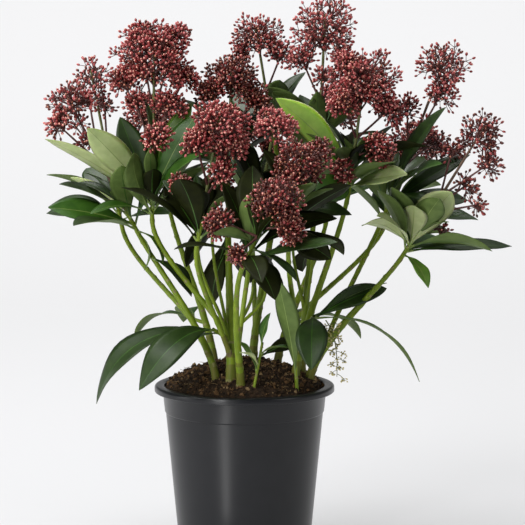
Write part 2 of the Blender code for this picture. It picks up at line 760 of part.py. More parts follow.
def grow_dome(dome, stalk, owner, turn, rng, placed, pieces):
    """Twigs from the dome's stalk, each with a bud cluster at its end."""
    length = (stalk[-1] - stalk[0]).length
    axis = heading(stalk, 1)
    for site, offset in cluster_sites(dome, axis, turn):
        reach = math.hypot(offset.x, offset.y)
        below_top = STALK_ABOVE_CENTRE * dome.along * MM - offset.z + BRANCH_RISE * reach
        root = along(stalk, max(0.1, 1 - below_top / length))
        fat_ball = cluster(site, random.Random(owner), CLUSTER_CLEARANCE)
        fat_twig = stick(root, site, 2 * TWIG_RADIUS * MM, 2 * TWIG_RADIUS * MM)
        free = all(placed.clear_of(bm, lambda o, kind: o == owner) for bm in (fat_ball, fat_twig))
        fat_ball.free()
        fat_twig.free()
        if not free:
            print("bud cluster left out of", owner)
            continue
        ball = cluster(site, rng)
        twig = stick(root, site, 1.2 * TWIG_RADIUS * MM, TWIG_RADIUS * MM)
        for bm, kind in ((ball, "cluster"), (twig, "twig")):
            placed.add_bmesh(owner, kind, bm)
            object_from_bmesh(bm, kind, pieces)


def stalk_controls(start, leaving, dome):
    """A dome's stalk: it leaves start in the given direction and runs up through the dome's centre."""
    span = (dome.centre - start).length
    arriving = ((dome.centre - start).normalized() + 0.5 * UP).normalized()
    top = dome.centre + arriving * (STALK_ABOVE_CENTRE * dome.along * MM)
    return [start, start + leaving * (span * STALK_BEND), top]


def grow_flower_head(shoot, placed, pieces, collection, material):
    """The whole flower head of one shoot, on a stalk that starts JOINT_GAP above its leafy twig."""
    owner = f"flowers_{shoot.name}"
    rng = random.Random(owner)
    axis = crown_heading(shoot)
    start = point(shoot.whorl) + axis * (LEAFY_LENGTH * MM + 2 * JOINT_GAP)
    main = stalk_controls(start, axis, shoot.domes[0])
    head = tube(owner, [along(main, i / 4) for i in range(5)],
                [(STALK_RADIUS - STALK_LOSS * i) * MM for i in range(5)], 0, collection)
    placed.add_object(owner, "stalk", head)
    grow_dome(shoot.domes[0], main, owner, rng.uniform(0, math.tau), rng, placed, pieces)
    for dome in shoot.domes[1:]:
        drop = (dome.centre - start).dot(axis) / max((main[-1] - start).length, 1e-6)
        lowest, highest = SIDE_STALK_REACH
        root = along(main, min(highest, max(lowest, drop * SIDE_STALK_RISE)))
        side = stalk_controls(root, (dome.centre - root).normalized(), dome)
        side_stalk = tube("side_stalk", [along(side, i / 2) for i in range(3)],
                          [radius * MM for radius in SIDE_STALK_RADII], 0, pieces)
        bm = bmesh.new()
        bm.from_mesh(side_stalk.data)
        if not placed.clear_of(bm, lambda o, kind: o == owner):
            raise ValueError(f"a side stalk of {owner} meets another piece on its way to {dome}")
        bm.free()
        placed.add_object(owner, "stalk", side_stalk)
        grow_dome(dome, side, owner, rng.uniform(0, math.tau), rng, placed, pieces)
    fuse(head, pieces)
    head.data.materials.clear()
    head.data.materials.append(material)
    return head


def leafy_twig(name, start, end, radius, placed, collection):
    bm = stick(start, end, radius * MM, 0.85 * radius * MM)
    placed.add_bmesh(name, "twig", bm)
    return object_from_bmesh(bm, name, collection)


def build_plant(plant, pieces, materials):
    placed = Placed()
    for shape in ("pot", "compost"):
        placed.add_object(shape, "solid", bpy.data.objects[shape])
    stems = {}
    for shoot in SHOOTS:
        stems[shoot.name] = grow_stem(shoot, stems, placed)
        thing = build_stem(stems[shoot.name], plant, materials["stem"])
        placed.add_object(thing.name, "stem", thing)

    twigs = {}
    for shoot in SHOOTS:
        name = f"leaves_{shoot.name}"
        axis = crown_heading(shoot)
        foot = point(shoot.whorl) + axis * JOINT_GAP
        twigs[name] = (leafy_twig(name, foot, foot + axis * (LEAFY_LENGTH * MM), LEAFY_RADIUS, placed, plant),
                       foot, foot + axis * (LEAFY_LENGTH * MM), shoot.portraits)
    for spray in LOW_SPRAYS:
        name = f"leaves_{spray.name}"
        foot, top = spray_start(spray, stems, placed), point(spray.tip)
        twigs[name] = (leafy_twig(name, foot, top, spray.radius, placed, plant), foot, top, spray.leaves)

    for shoot in SHOOTS:
        grow_flower_head(shoot, placed, pieces, plant, materials["flower"])

    leaf_pieces = {name: new_collection(f"pieces_{name}") for name in twigs}
    for name, (_, foot, top, leaves) in twigs.items():
        grow_portraits(name, leaves, foot, top, placed, leaf_pieces[name])
    for shoot in SHOOTS:
        count = grow_whorl(shoot, placed, leaf_pieces[f"leaves_{shoot.name}"])
        print(shoot.name, "whorl leaves", count, "of", shoot.leaves)
    for name, (twig, *_) in twigs.items():
        fuse(twig, leaf_pieces[name])
        bpy.data.collections.remove(leaf_pieces[name])
        twig.data.materials.clear()
        twig.data.materials.append(materials["leaf"])


def main():
    clear_scene()
    materials = {
        "pot": new_material("pot_plastic", (0.035, 0.036, 0.04), 0.38),
        "compost": new_material("compost", (0.028, 0.017, 0.01), 0.95),
        "stem": new_material("stem_bark", (0.16, 0.22, 0.05), 0.5),
        "leaf": new_material("leaf", (0.05, 0.11, 0.025), 0.35),
        "flower": new_material("flower_buds", (0.2, 0.03, 0.03), 0.5),
    }
    plant = new_collection("skimmia")
    cutters = new_collection("cutters")
    pieces = new_collection("pieces")
    build_pot(plant, cutters, materials["pot"])
    build_compost(plant, materials["compost"])
    build_plant(plant, pieces, materials)


main()
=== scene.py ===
"""A potted skimmia in bud: dark red flower heads over leathery leaves, in a charcoal nursery pot."""

import json
import math
import random
from typing import NamedTuple

import bmesh
import bpy
import numpy as np
from mathutils import Matrix, Vector, noise
from mathutils.kdtree import KDTree

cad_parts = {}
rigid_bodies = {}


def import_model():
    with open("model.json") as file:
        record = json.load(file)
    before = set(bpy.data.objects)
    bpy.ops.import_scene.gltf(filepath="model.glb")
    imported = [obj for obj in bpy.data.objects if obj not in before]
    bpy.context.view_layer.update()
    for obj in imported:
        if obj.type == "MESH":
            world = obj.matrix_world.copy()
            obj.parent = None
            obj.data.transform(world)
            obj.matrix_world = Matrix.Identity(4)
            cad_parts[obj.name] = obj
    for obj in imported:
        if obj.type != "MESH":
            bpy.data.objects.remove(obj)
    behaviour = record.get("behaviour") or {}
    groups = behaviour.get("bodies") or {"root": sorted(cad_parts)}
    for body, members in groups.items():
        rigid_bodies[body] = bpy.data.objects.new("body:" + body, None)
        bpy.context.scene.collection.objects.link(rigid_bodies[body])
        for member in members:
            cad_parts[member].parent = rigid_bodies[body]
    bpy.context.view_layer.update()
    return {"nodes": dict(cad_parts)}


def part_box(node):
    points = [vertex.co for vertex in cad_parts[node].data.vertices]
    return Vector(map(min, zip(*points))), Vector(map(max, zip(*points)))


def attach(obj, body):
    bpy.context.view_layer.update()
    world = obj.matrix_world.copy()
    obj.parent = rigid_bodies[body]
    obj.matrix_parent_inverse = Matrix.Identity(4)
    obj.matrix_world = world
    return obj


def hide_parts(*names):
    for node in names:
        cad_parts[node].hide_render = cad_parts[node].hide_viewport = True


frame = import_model()

MM = 0.001
UP = Vector((0, 0, 1))
GOLDEN_ANGLE = math.radians(137.508)

# The pot, turned about Z. Radii and heights in millimetres.
POT_HEIGHT = 178
RIM_RADIUS = 95
LIP_DEPTH = 7
BASE_RADIUS = 69
WALL_TAPER = 0.095
WALL = 1.8
FLOOR = 2.4
COLLAR_HEIGHT = 150
COLLAR_STEP = 1.0
POT_STEPS = 128
SHARP_ANGLE = 50
DRAIN_HOLES = 6
DRAIN_RADIUS = 6.5
DRAIN_CIRCLE = 50

# The compost mound, with crumbs and fibres on it.
MOUND_TOP = 203
MOUND_EDGE = 179
MOUND_RADIUS = 83.8
MOUND_RINGS = 46
MOUND_STEPS = 120
SKIRT_DEPTH = 16
EDGE_WIDTH = 6
EDGE_DIP = 3.2
LUMP_HEIGHT = 2.6
LUMP_SCALE = 0.09
CRUMBS_LAID = 2600
CRUMB_KINDS = (0.54, 0.37, 0.09)
FIBRES_LAID = 260
FIBRE_LENGTHS = (3, 9)

# Stems.
STEM_BURIED = 12
STEM_SEARCH_STEPS = 240
JOINT_GAP = 0.6
HEAD_RADIUS = 2.4
ROOT_FLARE = 1.25
FLARE_SHARE = 0.15
TAPER_SHARE = 0.87
STEM_STIFFNESS = 0.25
FORK_RADIUS_SHARE = 0.8
LEAFY_LENGTH = 26
LEAFY_RADIUS = 2.3
LEAFY_TAPER = 0.15
RING_SPACING = 2.4
STEM_SIDES = 14
THIN_TWIG_STEPS = 29
THIN_TWIG_BEND = 0.35
THIN_TWIG_TAPER = 0.2

# Bark. Its age runs from 0 for green to 1.
FIRST_SCAR = (4, 12)
SCARS_APART = (9, 17)
SCAR_HALF_LENGTH = 1.3
SCAR_HALF_TURN = 0.55
OLDEST_BARK = 0.8
AGE_FADES_OVER = 0.06
FORK_LEVEL = 0.21
OLD_BARK = 0.62
TURNING_BARK = 0.3

# Leaves.
PETIOLE_SHARE = 0.07
PETIOLE_HALF_WIDTH = 1.3
BLADE_HALF_THICKNESS = 0.3
BLADE_FOLD = 0.16
LEAF_TRIES = 14
LEAF_LENGTH = 98
LENGTH_LOSS = 16
LEAF_LEAN = 66
LEAN_LOSS = 34
LEAN_VARIES = 14
LENGTH_VARIES = (-6, 10)
AZIMUTH_VARIES = 0.9
SHORTER_BY_TRY = 0.03
LEAF_ROLL = 32
LEAF_ARCHES = (0.05, 0.13)
LEAF_DROOPS = (0.02, 0.16)
LEAF_WIDTHS = (30, 37)
WIDTH_AT_LENGTH = 95
YOUNG_LEAVES = 5
LEAF_ROWS = 18
LEAF_COLUMNS = 14
LEAF_TWIST = 0.22
COLUMNS_ON_TOP = 8
RIB_COLUMNS = [3, 10]
RIB_HALF_WIDTH = 0.65

# Flower heads.
DOME_COVER = 1.5
DOME_SHARE = 0.77
STALK_ABOVE_CENTRE = 0.45
STALK_RADIUS = 1.9
SIDE_STALK_RADIUS = 1.4
STALK_BEND = 0.45
SIDE_STALK_RISE = 0.55
SIDE_STALK_REACH = (0.12, 0.7)
HUB_REACH = 0.45
HUB_DROP = 0.35
AREA_OF_A_SPRAY = 128
CROWDING = 1.25
SPRAY_HEIGHT = 5.5
INNER_SHARE = 0.28
INNER_DEPTHS = (0.45, 0.72)
OUTER_DEPTHS = (0.82, 1.12)
SPREAD = 1.06
NEAR_DOME = 62
BUD_SIDES = 6
BUD_LENGTHS = (3.3, 4.3)
BUD_GIRTHS = (1.3, 1.65)
BUD_STATIONS = (-0.02, 0.16, 0.48, 0.8, 1.0)
BUD_SWELL = (0.42, 0.84, 1.0, 0.66, 0.06)
BUDS_LIKE_THEIR_SPRAY = 0.8
# Share of buds with a pale tip: partly the petals' paler edge, partly a painted highlight.
PALER_TIPS = 0.55
HUB_BRANCH_RADII = np.array((1.15, 0.95, 0.8)) * MM
BRANCH_RADII = np.array((0.8, 0.62, 0.55)) * MM
STICK_RADII = np.array((0.42, 0.36)) * MM


class Dome(NamedTuple):
    """A rounded part of a flower head: centre, radii across and along its stalk, and number of clusters."""

    x: float
    y: float
    z: float
    across: float
    along: float
    clusters: int

    @property
    def centre(self):
        return Vector((self.x, self.y, self.z)) * MM


class Leaf(NamedTuple):
    """A listed leaf: tip, arch, roll, width, how far up the leafy twig it sits, and its tone. Some tones are
    painted shade or painted light.
    """

    x: float
    y: float
    z: float
    arch: float
    roll: float
    width: float
    height: float = 0.3
    tone: str = "mid"


class Shoot(NamedTuple):
    """A stem with its whorl and flower head. It rises from the compost at foot, or from its parent at fork.

    Fullness is how many sprays of buds the head has, against the usual. The buds' tone goes from 0 for the
    deepest
    buds to 2 for the palest: partly the heads' own colour, partly painted shade on heads in shadow at the
    front and painted light on backlit heads. An airy head has fewer buds, on longer stalks. A shaded shoot's
    whorl leaves mostly get the dark shaded tone, which is painted shade under the heads. Own leaves are
    listed one by one. Each leafless twig has the share of the stem where it starts, the point it reaches, and
    its radius.
    """

    name: str
    whorl: tuple
    foot: tuple = ()
    parent: str = ""
    fork: float = 0
    radius: float = 3.6
    leaves: int = 8
    turn: float = 0
    fullness: float = 1
    redness_and_shading: int = 1
    airy: bool = False
    shaded: bool = False
    dark_stalk: bool = False
    domes: tuple = ()
    own_leaves: tuple = ()
    twigs: tuple = ()


def domes(*rows):
    return tuple(Dome(*row) for row in rows)


def leaves(*rows):
    return tuple(Leaf(*row) for row in rows)


SHOOTS = (
    Shoot("centre", (-17, 20, 398), foot=(-13, -55), radius=5.6, turn=40, redness_and_shading=0, shaded=True,
        domes=domes((-14, 15, 497, 30, 27, 6), (14, 8, 476, 18, 17, 2), (-37, 4, 484, 16, 17, 2)),
        own_leaves=leaves((-50, 55, 468, 0.05, 0, 32, 0.5, "dark"), (18, 52, 464, 0.05, 0, 32, 0.6, "dark"),
            (-78, 50, 456, 0.05, -25, 28, 0.3, "fresh"), (-72, 12, 462, 0.05, -10, 34, 0.2, "fresh"),
            (-44, 0, 452, 0.05, -20, 30, 0.3, "dark"), (2, 8, 448, 0.05, 10, 30, 0.4, "dark"),
            (-44, 36, 276, 0.1, 30, 28, -2.4, "shaded"), (6, 44, 280, 0.1, -20, 30, -2.8, "shaded"),
            (-34, -6, 262, 0.1, 10, 28, -3.2, "shaded"), (-62, 20, 300, 0.1, 40, 28, -1.6, "shaded")),
        twigs=((0.2, (-47, -60, 330), 2.1), (0.17, (-33, -32, 340), 1.9), (0.22, (9, -5, 282), 2.0),
            (0.25, (22, -20, 280), 1.9))),
    Shoot("left_low", (-111, -20, 341), foot=(-28, -46), radius=4.2, leaves=7, turn=200, fullness=0.78,
            airy=True, dark_stalk=True,
        domes=domes((-180, -20, 473, 24, 25, 5), (-192, -30, 451, 14, 14, 2), (-161, -12, 478, 13, 13, 1),
            (-162, -20, 434, 13, 13, 1)),
        own_leaves=leaves((-200, -50, 368, 0.06, -50, 30), (-182, 0, 396, 0.05, 35, 24, 0.6, "pale"),
            (-104, -24, 301, 0.2, 0, 15, 0.02, "fresh"), (-84, -34, 309, 0.2, 0, 13, 0.02, "fresh"))),
    Shoot("front", (2, -140, 322), foot=(-3, -66), radius=4.4, leaves=7, turn=75, redness_and_shading=0, shaded=True,
        domes=domes((32, -165, 381, 26, 28, 5), (47, -172, 357, 18, 16, 2), (-22, -150, 361, 19, 18, 2),
            (-5, -170, 331, 12, 9, 1)),
        own_leaves=leaves((-66, -172, 337, 0.1, 0, 25, 0.1, "shaded"),
            (90, -194, 346, 0.02, 20, 26, 0.06, "sheen"), (31, -188, 290, 0.16, 10, 30, 0.06, "shaded"),
            (9, -102, 414, 0.04, -10, 32, 0.8, "shaded"), (-20, -112, 398, 0.04, 0, 32, 0.5, "shaded"),
            (28, -120, 392, 0.04, 10, 30, 0.6, "shaded"))),
    Shoot("left_tall", (-95, -30, 356), parent="centre", fork=34, radius=3.8, turn=150, fullness=0.85,
        domes=domes((-93, -10, 514, 37, 43, 9), (-109, -6, 545, 17, 16, 2), (-70, -2, 544, 17, 17, 2),
            (-127, -12, 497, 17, 19, 2), (-60, -10, 500, 16, 16, 2), (-76, -25, 474, 21, 17, 2),
            (-112, -20, 474, 15, 14, 1), (-88, -62, 441, 17, 17, 2)),
        own_leaves=leaves((-203, -45, 438, 0.05, 35, 26, 0.5, "pale"),
            (-157, -74, 450, 0.04, 55, 32, 0.8, "pale"), (-109, -104, 426, 0.08, 60, 27, 0.1, "fresh"),
            (-128, -22, 460, 0.04, -70, 30, 0.6, "dark"), (-41, -78, 424, 0.1, 45, 30),
            (-48, -34, 464, 0.05, 60, 30, 0.7), (-55, -20, 273, 0.12, 40, 28, -1.6, "dark"),
            (-92, -60, 408, 0.08, 10, 22, 0.6, "shaded"), (-72, -20, 420, 0.05, 20, 30, 0.5, "dark"),
            (-104, -8, 480, 0.05, -15, 30, 0.7, "fresh"), (-54, -16, 474, 0.05, 30, 32, 0.8, "fresh"))),
    Shoot("left_rear", (-131, 35, 342), parent="left_low", fork=40, radius=3.2, leaves=7, turn=110,
            fullness=0.65, airy=True,
        domes=domes((-163, 50, 499, 21, 23, 4), (-149, 42, 470, 14, 13, 1))),
    Shoot("front_left", (-47, -85, 331), parent="centre", fork=16, turn=10, shaded=True,
        domes=domes((-25, -95, 452, 30, 27, 6), (-47, -107, 436, 16, 15, 2), (-5, -101, 432, 14, 14, 1),
            (-21, -98, 407, 16, 16, 2), (-62, -106, 394, 13, 15, 1)),
        own_leaves=leaves((-60, -58, 398, 0.04, 0, 30, 0.5, "shaded"),
            (-30, -48, 386, 0.05, 0, 28, 0.7, "shaded"), (-20, -66, 404, 0.04, 10, 32, 0.4, "shaded"),
            (-80, -62, 392, 0.05, -30, 30, 0.4, "shaded"), (-50, -30, 400, 0.05, -5, 30, 0.2, "shaded"))),
    Shoot("inner", (14, -55, 361), parent="front", fork=38, radius=3.2, leaves=6, turn=300, redness_and_shading=2,
            shaded=True,
        domes=domes((31, -86, 453, 23, 18, 4)),
        own_leaves=leaves((-6, -26, 412, 0.05, 0, 28, 0.5, "shaded"),
            (6, -34, 402, 0.05, 0, 32, 0.3, "shaded"), (44, -30, 414, 0.05, 10, 28, 0.3, "shaded"),
            (38, -20, 276, 0.12, 30, 28, -1.4, "shaded"))),
    Shoot("right", (164, -25, 316), foot=(67, -12), radius=4.8, leaves=6, turn=30, fullness=0.7, redness_and_shading=0,
            airy=True, dark_stalk=True,
        domes=domes((246, -20, 443, 23, 25, 4), (252, -31, 410, 15, 17, 2), (231, -20, 388, 17, 14, 2),
            (216, -10, 424, 14, 13, 1), (241, -30, 368, 11, 11, 1), (207, -12, 341, 10, 9, 1)),
        own_leaves=leaves((211, -60, 385, 0.05, -40, 39, 0.35, "pale"),
            (282, 10, 323, 0.03, 30, 24, 0.2, "sheen"), (119, -80, 352, 0.14, 20, 24, 0.5, "pale"),
            (188, -62, 287, 0.12, 0, 17, 0.06, "fresh"), (173, -62, 371, 0.06, -20, 27, 0.6, "pale"),
            (134, -80, 362, 0.08, -40, 27, 0.5, "pale"), (150, -60, 390, 0.06, -10, 28, 0.7, "dark"))),
    Shoot("right_tall", (108, -30, 385), foot=(53, -22), radius=4.4, turn=250, fullness=0.9, shaded=True,
        domes=domes((123, -25, 491, 36, 37, 8), (101, -42, 474, 18, 19, 2), (150, -20, 466, 18, 17, 2),
            (106, -24, 516, 15, 14, 1), (138, -60, 428, 20, 16, 2), (101, -56, 406, 14, 16, 1)),
        own_leaves=leaves((164, -88, 404, 0.03, 40, 28, 0.1, "pale"), (68, -95, 381, 0.12, -50, 32, 0.1),
            (100, -72, 431, 0.05, 0, 26, 0.5, "dark"), (134, -20, 440, 0.06, 20, 30, 0.6, "dark"),
            (32, -66, 480, 0.07, -75, 34, 0.6, "bright"))),
    Shoot("tallest", (78, 35, 408), foot=(60, 4), radius=4.6, turn=190, fullness=0.8, redness_and_shading=2, airy=True,
        domes=domes((85, 45, 551, 34, 36, 7), (60, 40, 519, 18, 17, 2), (108, 46, 517, 18, 17, 2),
            (84, 36, 501, 15, 14, 1)),
        own_leaves=leaves((30, -20, 486, 0.08, 20, 29, 0.5), (76, 2, 486, 0.04, 0, 22, 0.6, "dark"),
            (62, 48, 292, 0.1, -20, 30, -3.2, "shaded"), (96, 40, 318, 0.1, 20, 26, -3, "dark")),
        twigs=((0.34, (72, -5, 322), 1.9), (0.3, (51, 5, 325), 1.8))),
    Shoot("right_rear", (148, 15, 356), parent="right", fork=30, radius=3.4, turn=60, fullness=0.75,
            airy=True, dark_stalk=True,
        domes=domes((209, 24, 511, 28, 27, 5), (206, 10, 481, 19, 17, 2), (171, 14, 467, 15, 18, 1),
            (200, 32, 430, 20, 18, 2)),
        own_leaves=leaves((208, -22, 470, 0.07, 55, 29, 0.6, "dark"),
            (236, 0, 420, 0.05, 50, 25, 0.3, "dark"))),
    Shoot("front_right", (46, -105, 342), parent="right_tall", fork=26, radius=3.4, leaves=7, turn=130,
            redness_and_shading=0, shaded=True,
        domes=domes((57, -120, 414, 27, 27, 5), (38, -129, 394, 14, 14, 1), (76, -108, 430, 14, 13, 1)),
        own_leaves=leaves((40, -62, 410, 0.04, 0, 28, 0.6, "shaded"),
            (86, -148, 325, 0.12, 60, 28, 0.2, "shaded"), (70, -88, 396, 0.05, 10, 28, 0.6, "shaded"))),
    Shoot("rear_tall", (33, 75, 427), foot=(8, 34), radius=4.8, turn=20, fullness=0.85, airy=True,
        domes=domes((13, 76, 542, 29, 28, 5), (40, 69, 525, 16, 17, 2), (-8, 74, 520, 14, 13, 1)),
        own_leaves=leaves((28, 70, 300, 0.1, 10, 30, -4, "shaded"),
            (-6, 80, 320, 0.1, 0, 28, -3.4, "shaded"))),
    Shoot("back_left", (-84, 112, 356), foot=(-32, 26), radius=4.4, turn=90,
        domes=domes((-104, 140, 456, 30, 30, 6), (-78, 152, 430, 18, 17, 2))),
    Shoot("back", (6, 146, 352), parent="rear_tall", fork=30, turn=220,
        domes=domes((2, 176, 444, 29, 29, 6), (30, 168, 422, 17, 16, 2))),
    Shoot("back_right", (92, 122, 354), foot=(34, 42), radius=4.4, turn=310,
        domes=domes((100, 150, 462, 30, 31, 6), (76, 160, 438, 17, 16, 2))),
    Shoot("back_far_right", (152, 84, 338), parent="back_right", fork=30, radius=3.4, leaves=7, turn=170,
        domes=domes((190, 108, 430, 26, 26, 5), (172, 118, 408, 16, 15, 2))),
)

# Short leafy twigs near the compost, with no flower head.
LOW_SPRAYS = (
    Shoot("low_left", (-32, -56, 244), parent="centre", fork=36, radius=2.0,
        own_leaves=leaves((-105, -102, 188, 0.34, -42, 35, 0.9, "sheen"),
            (-152, -54, 166, 0.28, -38, 33, 0.9, "sheen"), (-66, -62, 219, 0.12, 0, 20, 0.7, "dark"))),
    Shoot("low_right", (72, -46, 256), parent="right_tall", fork=52, radius=2.0,
        own_leaves=leaves((68, -98, 208, 0.24, 0, 33, 0.9, "dark"),
            (184, -12, 182, 0.18, 0, 20, 0.8, "fresh"), (150, 2, 285, 0.05, 0, 22, 0.6, "sheen"),
            (150, 4, 279, 0.1, 45, 26, 0.5, "dark"))),
    Shoot("front_leaf", (53, -59, 206), foot=(55, -56), radius=2.0,
        own_leaves=leaves((34, -92, 300, 0.03, 0, 26, 0.7, "fresh"))),
    Shoot("sprig", (19, -68, 232), foot=(8, -72), radius=1.6,
        own_leaves=leaves((27, -66, 262, 0.06, 15, 18, 0.9), (44, -84, 229, 0.1, 0, 16, 0.8),
            (-4, -100, 226, 0.1, 0, 11, 0.6, "pale"), (60, -30, 228, 0.08, 40, 18, 0.75, "shaded"),
            (-8, -80, 236, 0.1, -40, 14, 0.5, "fresh"))),
    Shoot("low_back_left", (-58, 60, 240), parent="back_left", fork=40, radius=2.0,
        own_leaves=leaves((-122, 92, 214, 0.2, 0, 29, 0.9), (-70, 132, 226, 0.18, 0, 27, 0.8))),
    Shoot("low_back_right", (62, 66, 236), parent="back_right", fork=40, radius=2.0,
        own_leaves=leaves((128, 100, 212, 0.2, 0, 29, 0.9), (52, 152, 214, 0.2, 0, 28, 0.8))),
)


def point(xyz):
    return Vector(xyz) * MM


# Materials

def linear(shown):
    """A colour in the shader's linear values, from values of 0 to 255 as a screen shows them."""
    shares = [value / 255 for value in shown]
    return tuple(s / 12.92 if s <= 0.04045 else ((s + 0.055) / 1.055) ** 2.4 for s in shares)


def new_material(name):
    """A new material, the tree of its nodes and its shader."""
    material = bpy.data.materials.new(name)
    material.use_nodes = True
    return material, material.node_tree, material.node_tree.nodes["Principled BSDF"]


def feed(tree, node, sockets):
    """Gives each named input of a node a fixed value, or links it to the output of another node."""
    for name, value in sockets.items():
        if isinstance(value, bpy.types.NodeSocket):
            tree.links.new(value, node.inputs[name])
        else:
            node.inputs[name].default_value = value


def add_node(tree, kind, sockets):
    node = tree.nodes.new("ShaderNode" + kind)
    feed(tree, node, sockets)
    return node


def mottled(name, first, second, scale, roughness, bump, bump_scale, bump_depth, spread=(0.35, 0.65),
            specular=0.5, stretch=1):
    """A surface that varies in small patches between two colours, with fine relief. Stretch below 1 draws the
    patches out along Z."""
    material, tree, shader = new_material(name)
    place = add_node(tree, "TexCoord", {}).outputs["Object"]
    vector = add_node(tree, "Mapping", {"Vector": place, "Scale": (1, 1, stretch)}).outputs["Vector"]
    patches = add_node(tree, "TexNoise", {"Vector": vector, "Scale": scale, "Detail": 4})
    ramp = add_node(tree, "ValToRGB", {"Fac": patches.outputs["Fac"]})
    for element, position, colour in zip(ramp.color_ramp.elements, spread, (first, second)):
        element.position = position
        element.color = (*linear(colour), 1)
    grain = add_node(tree, "TexNoise", {"Vector": vector, "Scale": bump_scale, "Detail": 3})
    relief = add_node(tree, "Bump", {"Height": grain.outputs["Fac"], "Strength": bump,
                                     "Distance": bump_depth * MM})
    feed(tree, shader, {"Base Color": ramp.outputs["Color"], "Normal": relief.outputs["Normal"],
                        "Roughness": roughness, "Specular IOR Level": specular})
    return material


def leaf_material(name, first, second, roughness, specular=0.5, through=0.0):
    """Leaf skin. Through is how much light the blade lets pass from its far side."""
    material = mottled("leaf_" + name, first, second, 90, roughness, 0.35, 700, 0.25, specular=specular)
    tree = material.node_tree
    feed(tree, tree.nodes["Principled BSDF"], {"Subsurface Weight": through, "Subsurface Scale": 1.5 * MM,
                                               "Subsurface Radius": (0.6, 1.0, 0.25)})
    return material


# Leaf tones. shaded is painted shade: a near-black green for leaves in the shadow of the flower heads. bright
# is painted backlight, on top of some real light through the blade. pale is a paler underside green,
# lightened further with painted light and used on both sides; it too lets some light through.
LEAF_LOOKS = {
    "shaded": ((25, 28, 7), (33, 38, 11), 0.55, 0.1),
    "dark": ((30, 48, 16), (40, 62, 20), 0.42, 0.4),
    "mid": ((44, 80, 18), (58, 96, 26), 0.42, 0.4),
    "fresh": ((80, 112, 38), (96, 128, 48), 0.42, 0.4, 0.3),
    "bright": ((132, 164, 62), (150, 180, 76), 0.45, 0.3, 0.6),
    "sheen": ((32, 51, 17), (42, 61, 23), 0.4, 0.28),
    "pale": ((154, 166, 112), (172, 182, 128), 0.5, 0.4, 0.25),
    "underside": ((78, 98, 44), (94, 114, 56), 0.6, 0.3),
    "midrib": ((108, 128, 62), (124, 142, 72), 0.5),
}
LEAF_MATERIALS = [leaf_material(name, *looks) for name, looks in LEAF_LOOKS.items()]
LEAF_SLOTS = {name: slot for slot, name in enumerate(LEAF_LOOKS)}

BARK = [
    mottled("bark_old", (84, 72, 42), (108, 96, 58), 260, 0.75, 0.8, 420, 0.6, stretch=0.25),
    mottled("bark_turning", (86, 96, 22), (98, 98, 32), 220, 0.6, 0.6, 420, 0.4, stretch=0.2, specular=0.3),
    mottled("bark_green", (92, 114, 14), (112, 130, 24), 180, 0.5, 0.4, 500, 0.25, specular=0.3,
            stretch=0.15),
    mottled("leaf_scar", (128, 128, 72), (104, 98, 52), 300, 0.7, 0.5, 500, 0.3),
]
SCAR_SLOT = 3

# Bud colours. deep, red and rose are partly the buds' own range of colour, partly painted shade (deep, on
# heads in shadow) and painted light (rose, on backlit heads). The pale tip is partly the petals' paler edge,
# partly a painted highlight; on the deepest buds the duller tip takes its place.
BUDS = [mottled("bud_" + name, first, second, 300, roughness, bump, 1500, 0.1)
        for name, first, second, roughness, bump in (
            ("deep", (72, 24, 17), (94, 35, 25), 0.36, 0.2),
            ("red", (132, 46, 46), (156, 62, 60), 0.36, 0.2),
            ("rose", (166, 76, 78), (190, 100, 98), 0.36, 0.2),
            ("tip", (226, 158, 142), (240, 184, 164), 0.4, 0.2),
            ("tip_dull", (168, 104, 80), (188, 124, 96), 0.4, 0.2),
            ("dried", (176, 164, 104), (204, 190, 128), 0.7, 0.3))]
TIP_SLOT, DULL_TIP_SLOT = 3, 4

STALKS = [mottled("stalk_" + name, first, second, 250, 0.55, 0.3, 700, 0.2)
          for name, first, second in (
              ("red", (78, 40, 38), (96, 52, 46)),
              ("brown", (84, 60, 46), (102, 78, 56)),
              ("green", (96, 104, 52), (112, 116, 62)))]
RED_STALK, BROWN_STALK, GREEN_STALK = range(3)

TWIG_MATERIALS = [*BARK, STALKS[GREEN_STALK], BUDS[-1]]
DRIED_STALK_SLOT = len(BARK)
DRIED_BUD_SLOT = len(BARK) + 1

COMPOST = mottled("compost_peat", (20, 14, 8), (58, 42, 27), 220, 0.95, 1.0, 500, 1.6, (0.3, 0.7), 0.2)
CRUMBS = [mottled("crumb_" + name, first, second, 400, roughness, bump, 900, depth, specular=0.2)
          for name, first, second, roughness, bump, depth in (
              ("dark", (30, 21, 13), (50, 36, 24), 0.95, 0.8, 0.5),
              ("brown", (74, 54, 34), (98, 74, 48), 0.95, 0.8, 0.5),
              ("pale", (106, 86, 58), (134, 112, 80), 0.9, 0.6, 0.4))]
PLASTIC = mottled("charcoal_plastic", (17, 18, 21), (20, 21, 24), 60, 0.3, 0.12, 1400, 0.08, specular=0.36)


# Meshes gathered from many small shapes

def add_object(name, data):
    thing = bpy.data.objects.new(name, data)
    bpy.context.scene.collection.objects.link(thing)
    return thing


def declare(thing, replaces):
    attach(thing, "root")
    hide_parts(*replaces)


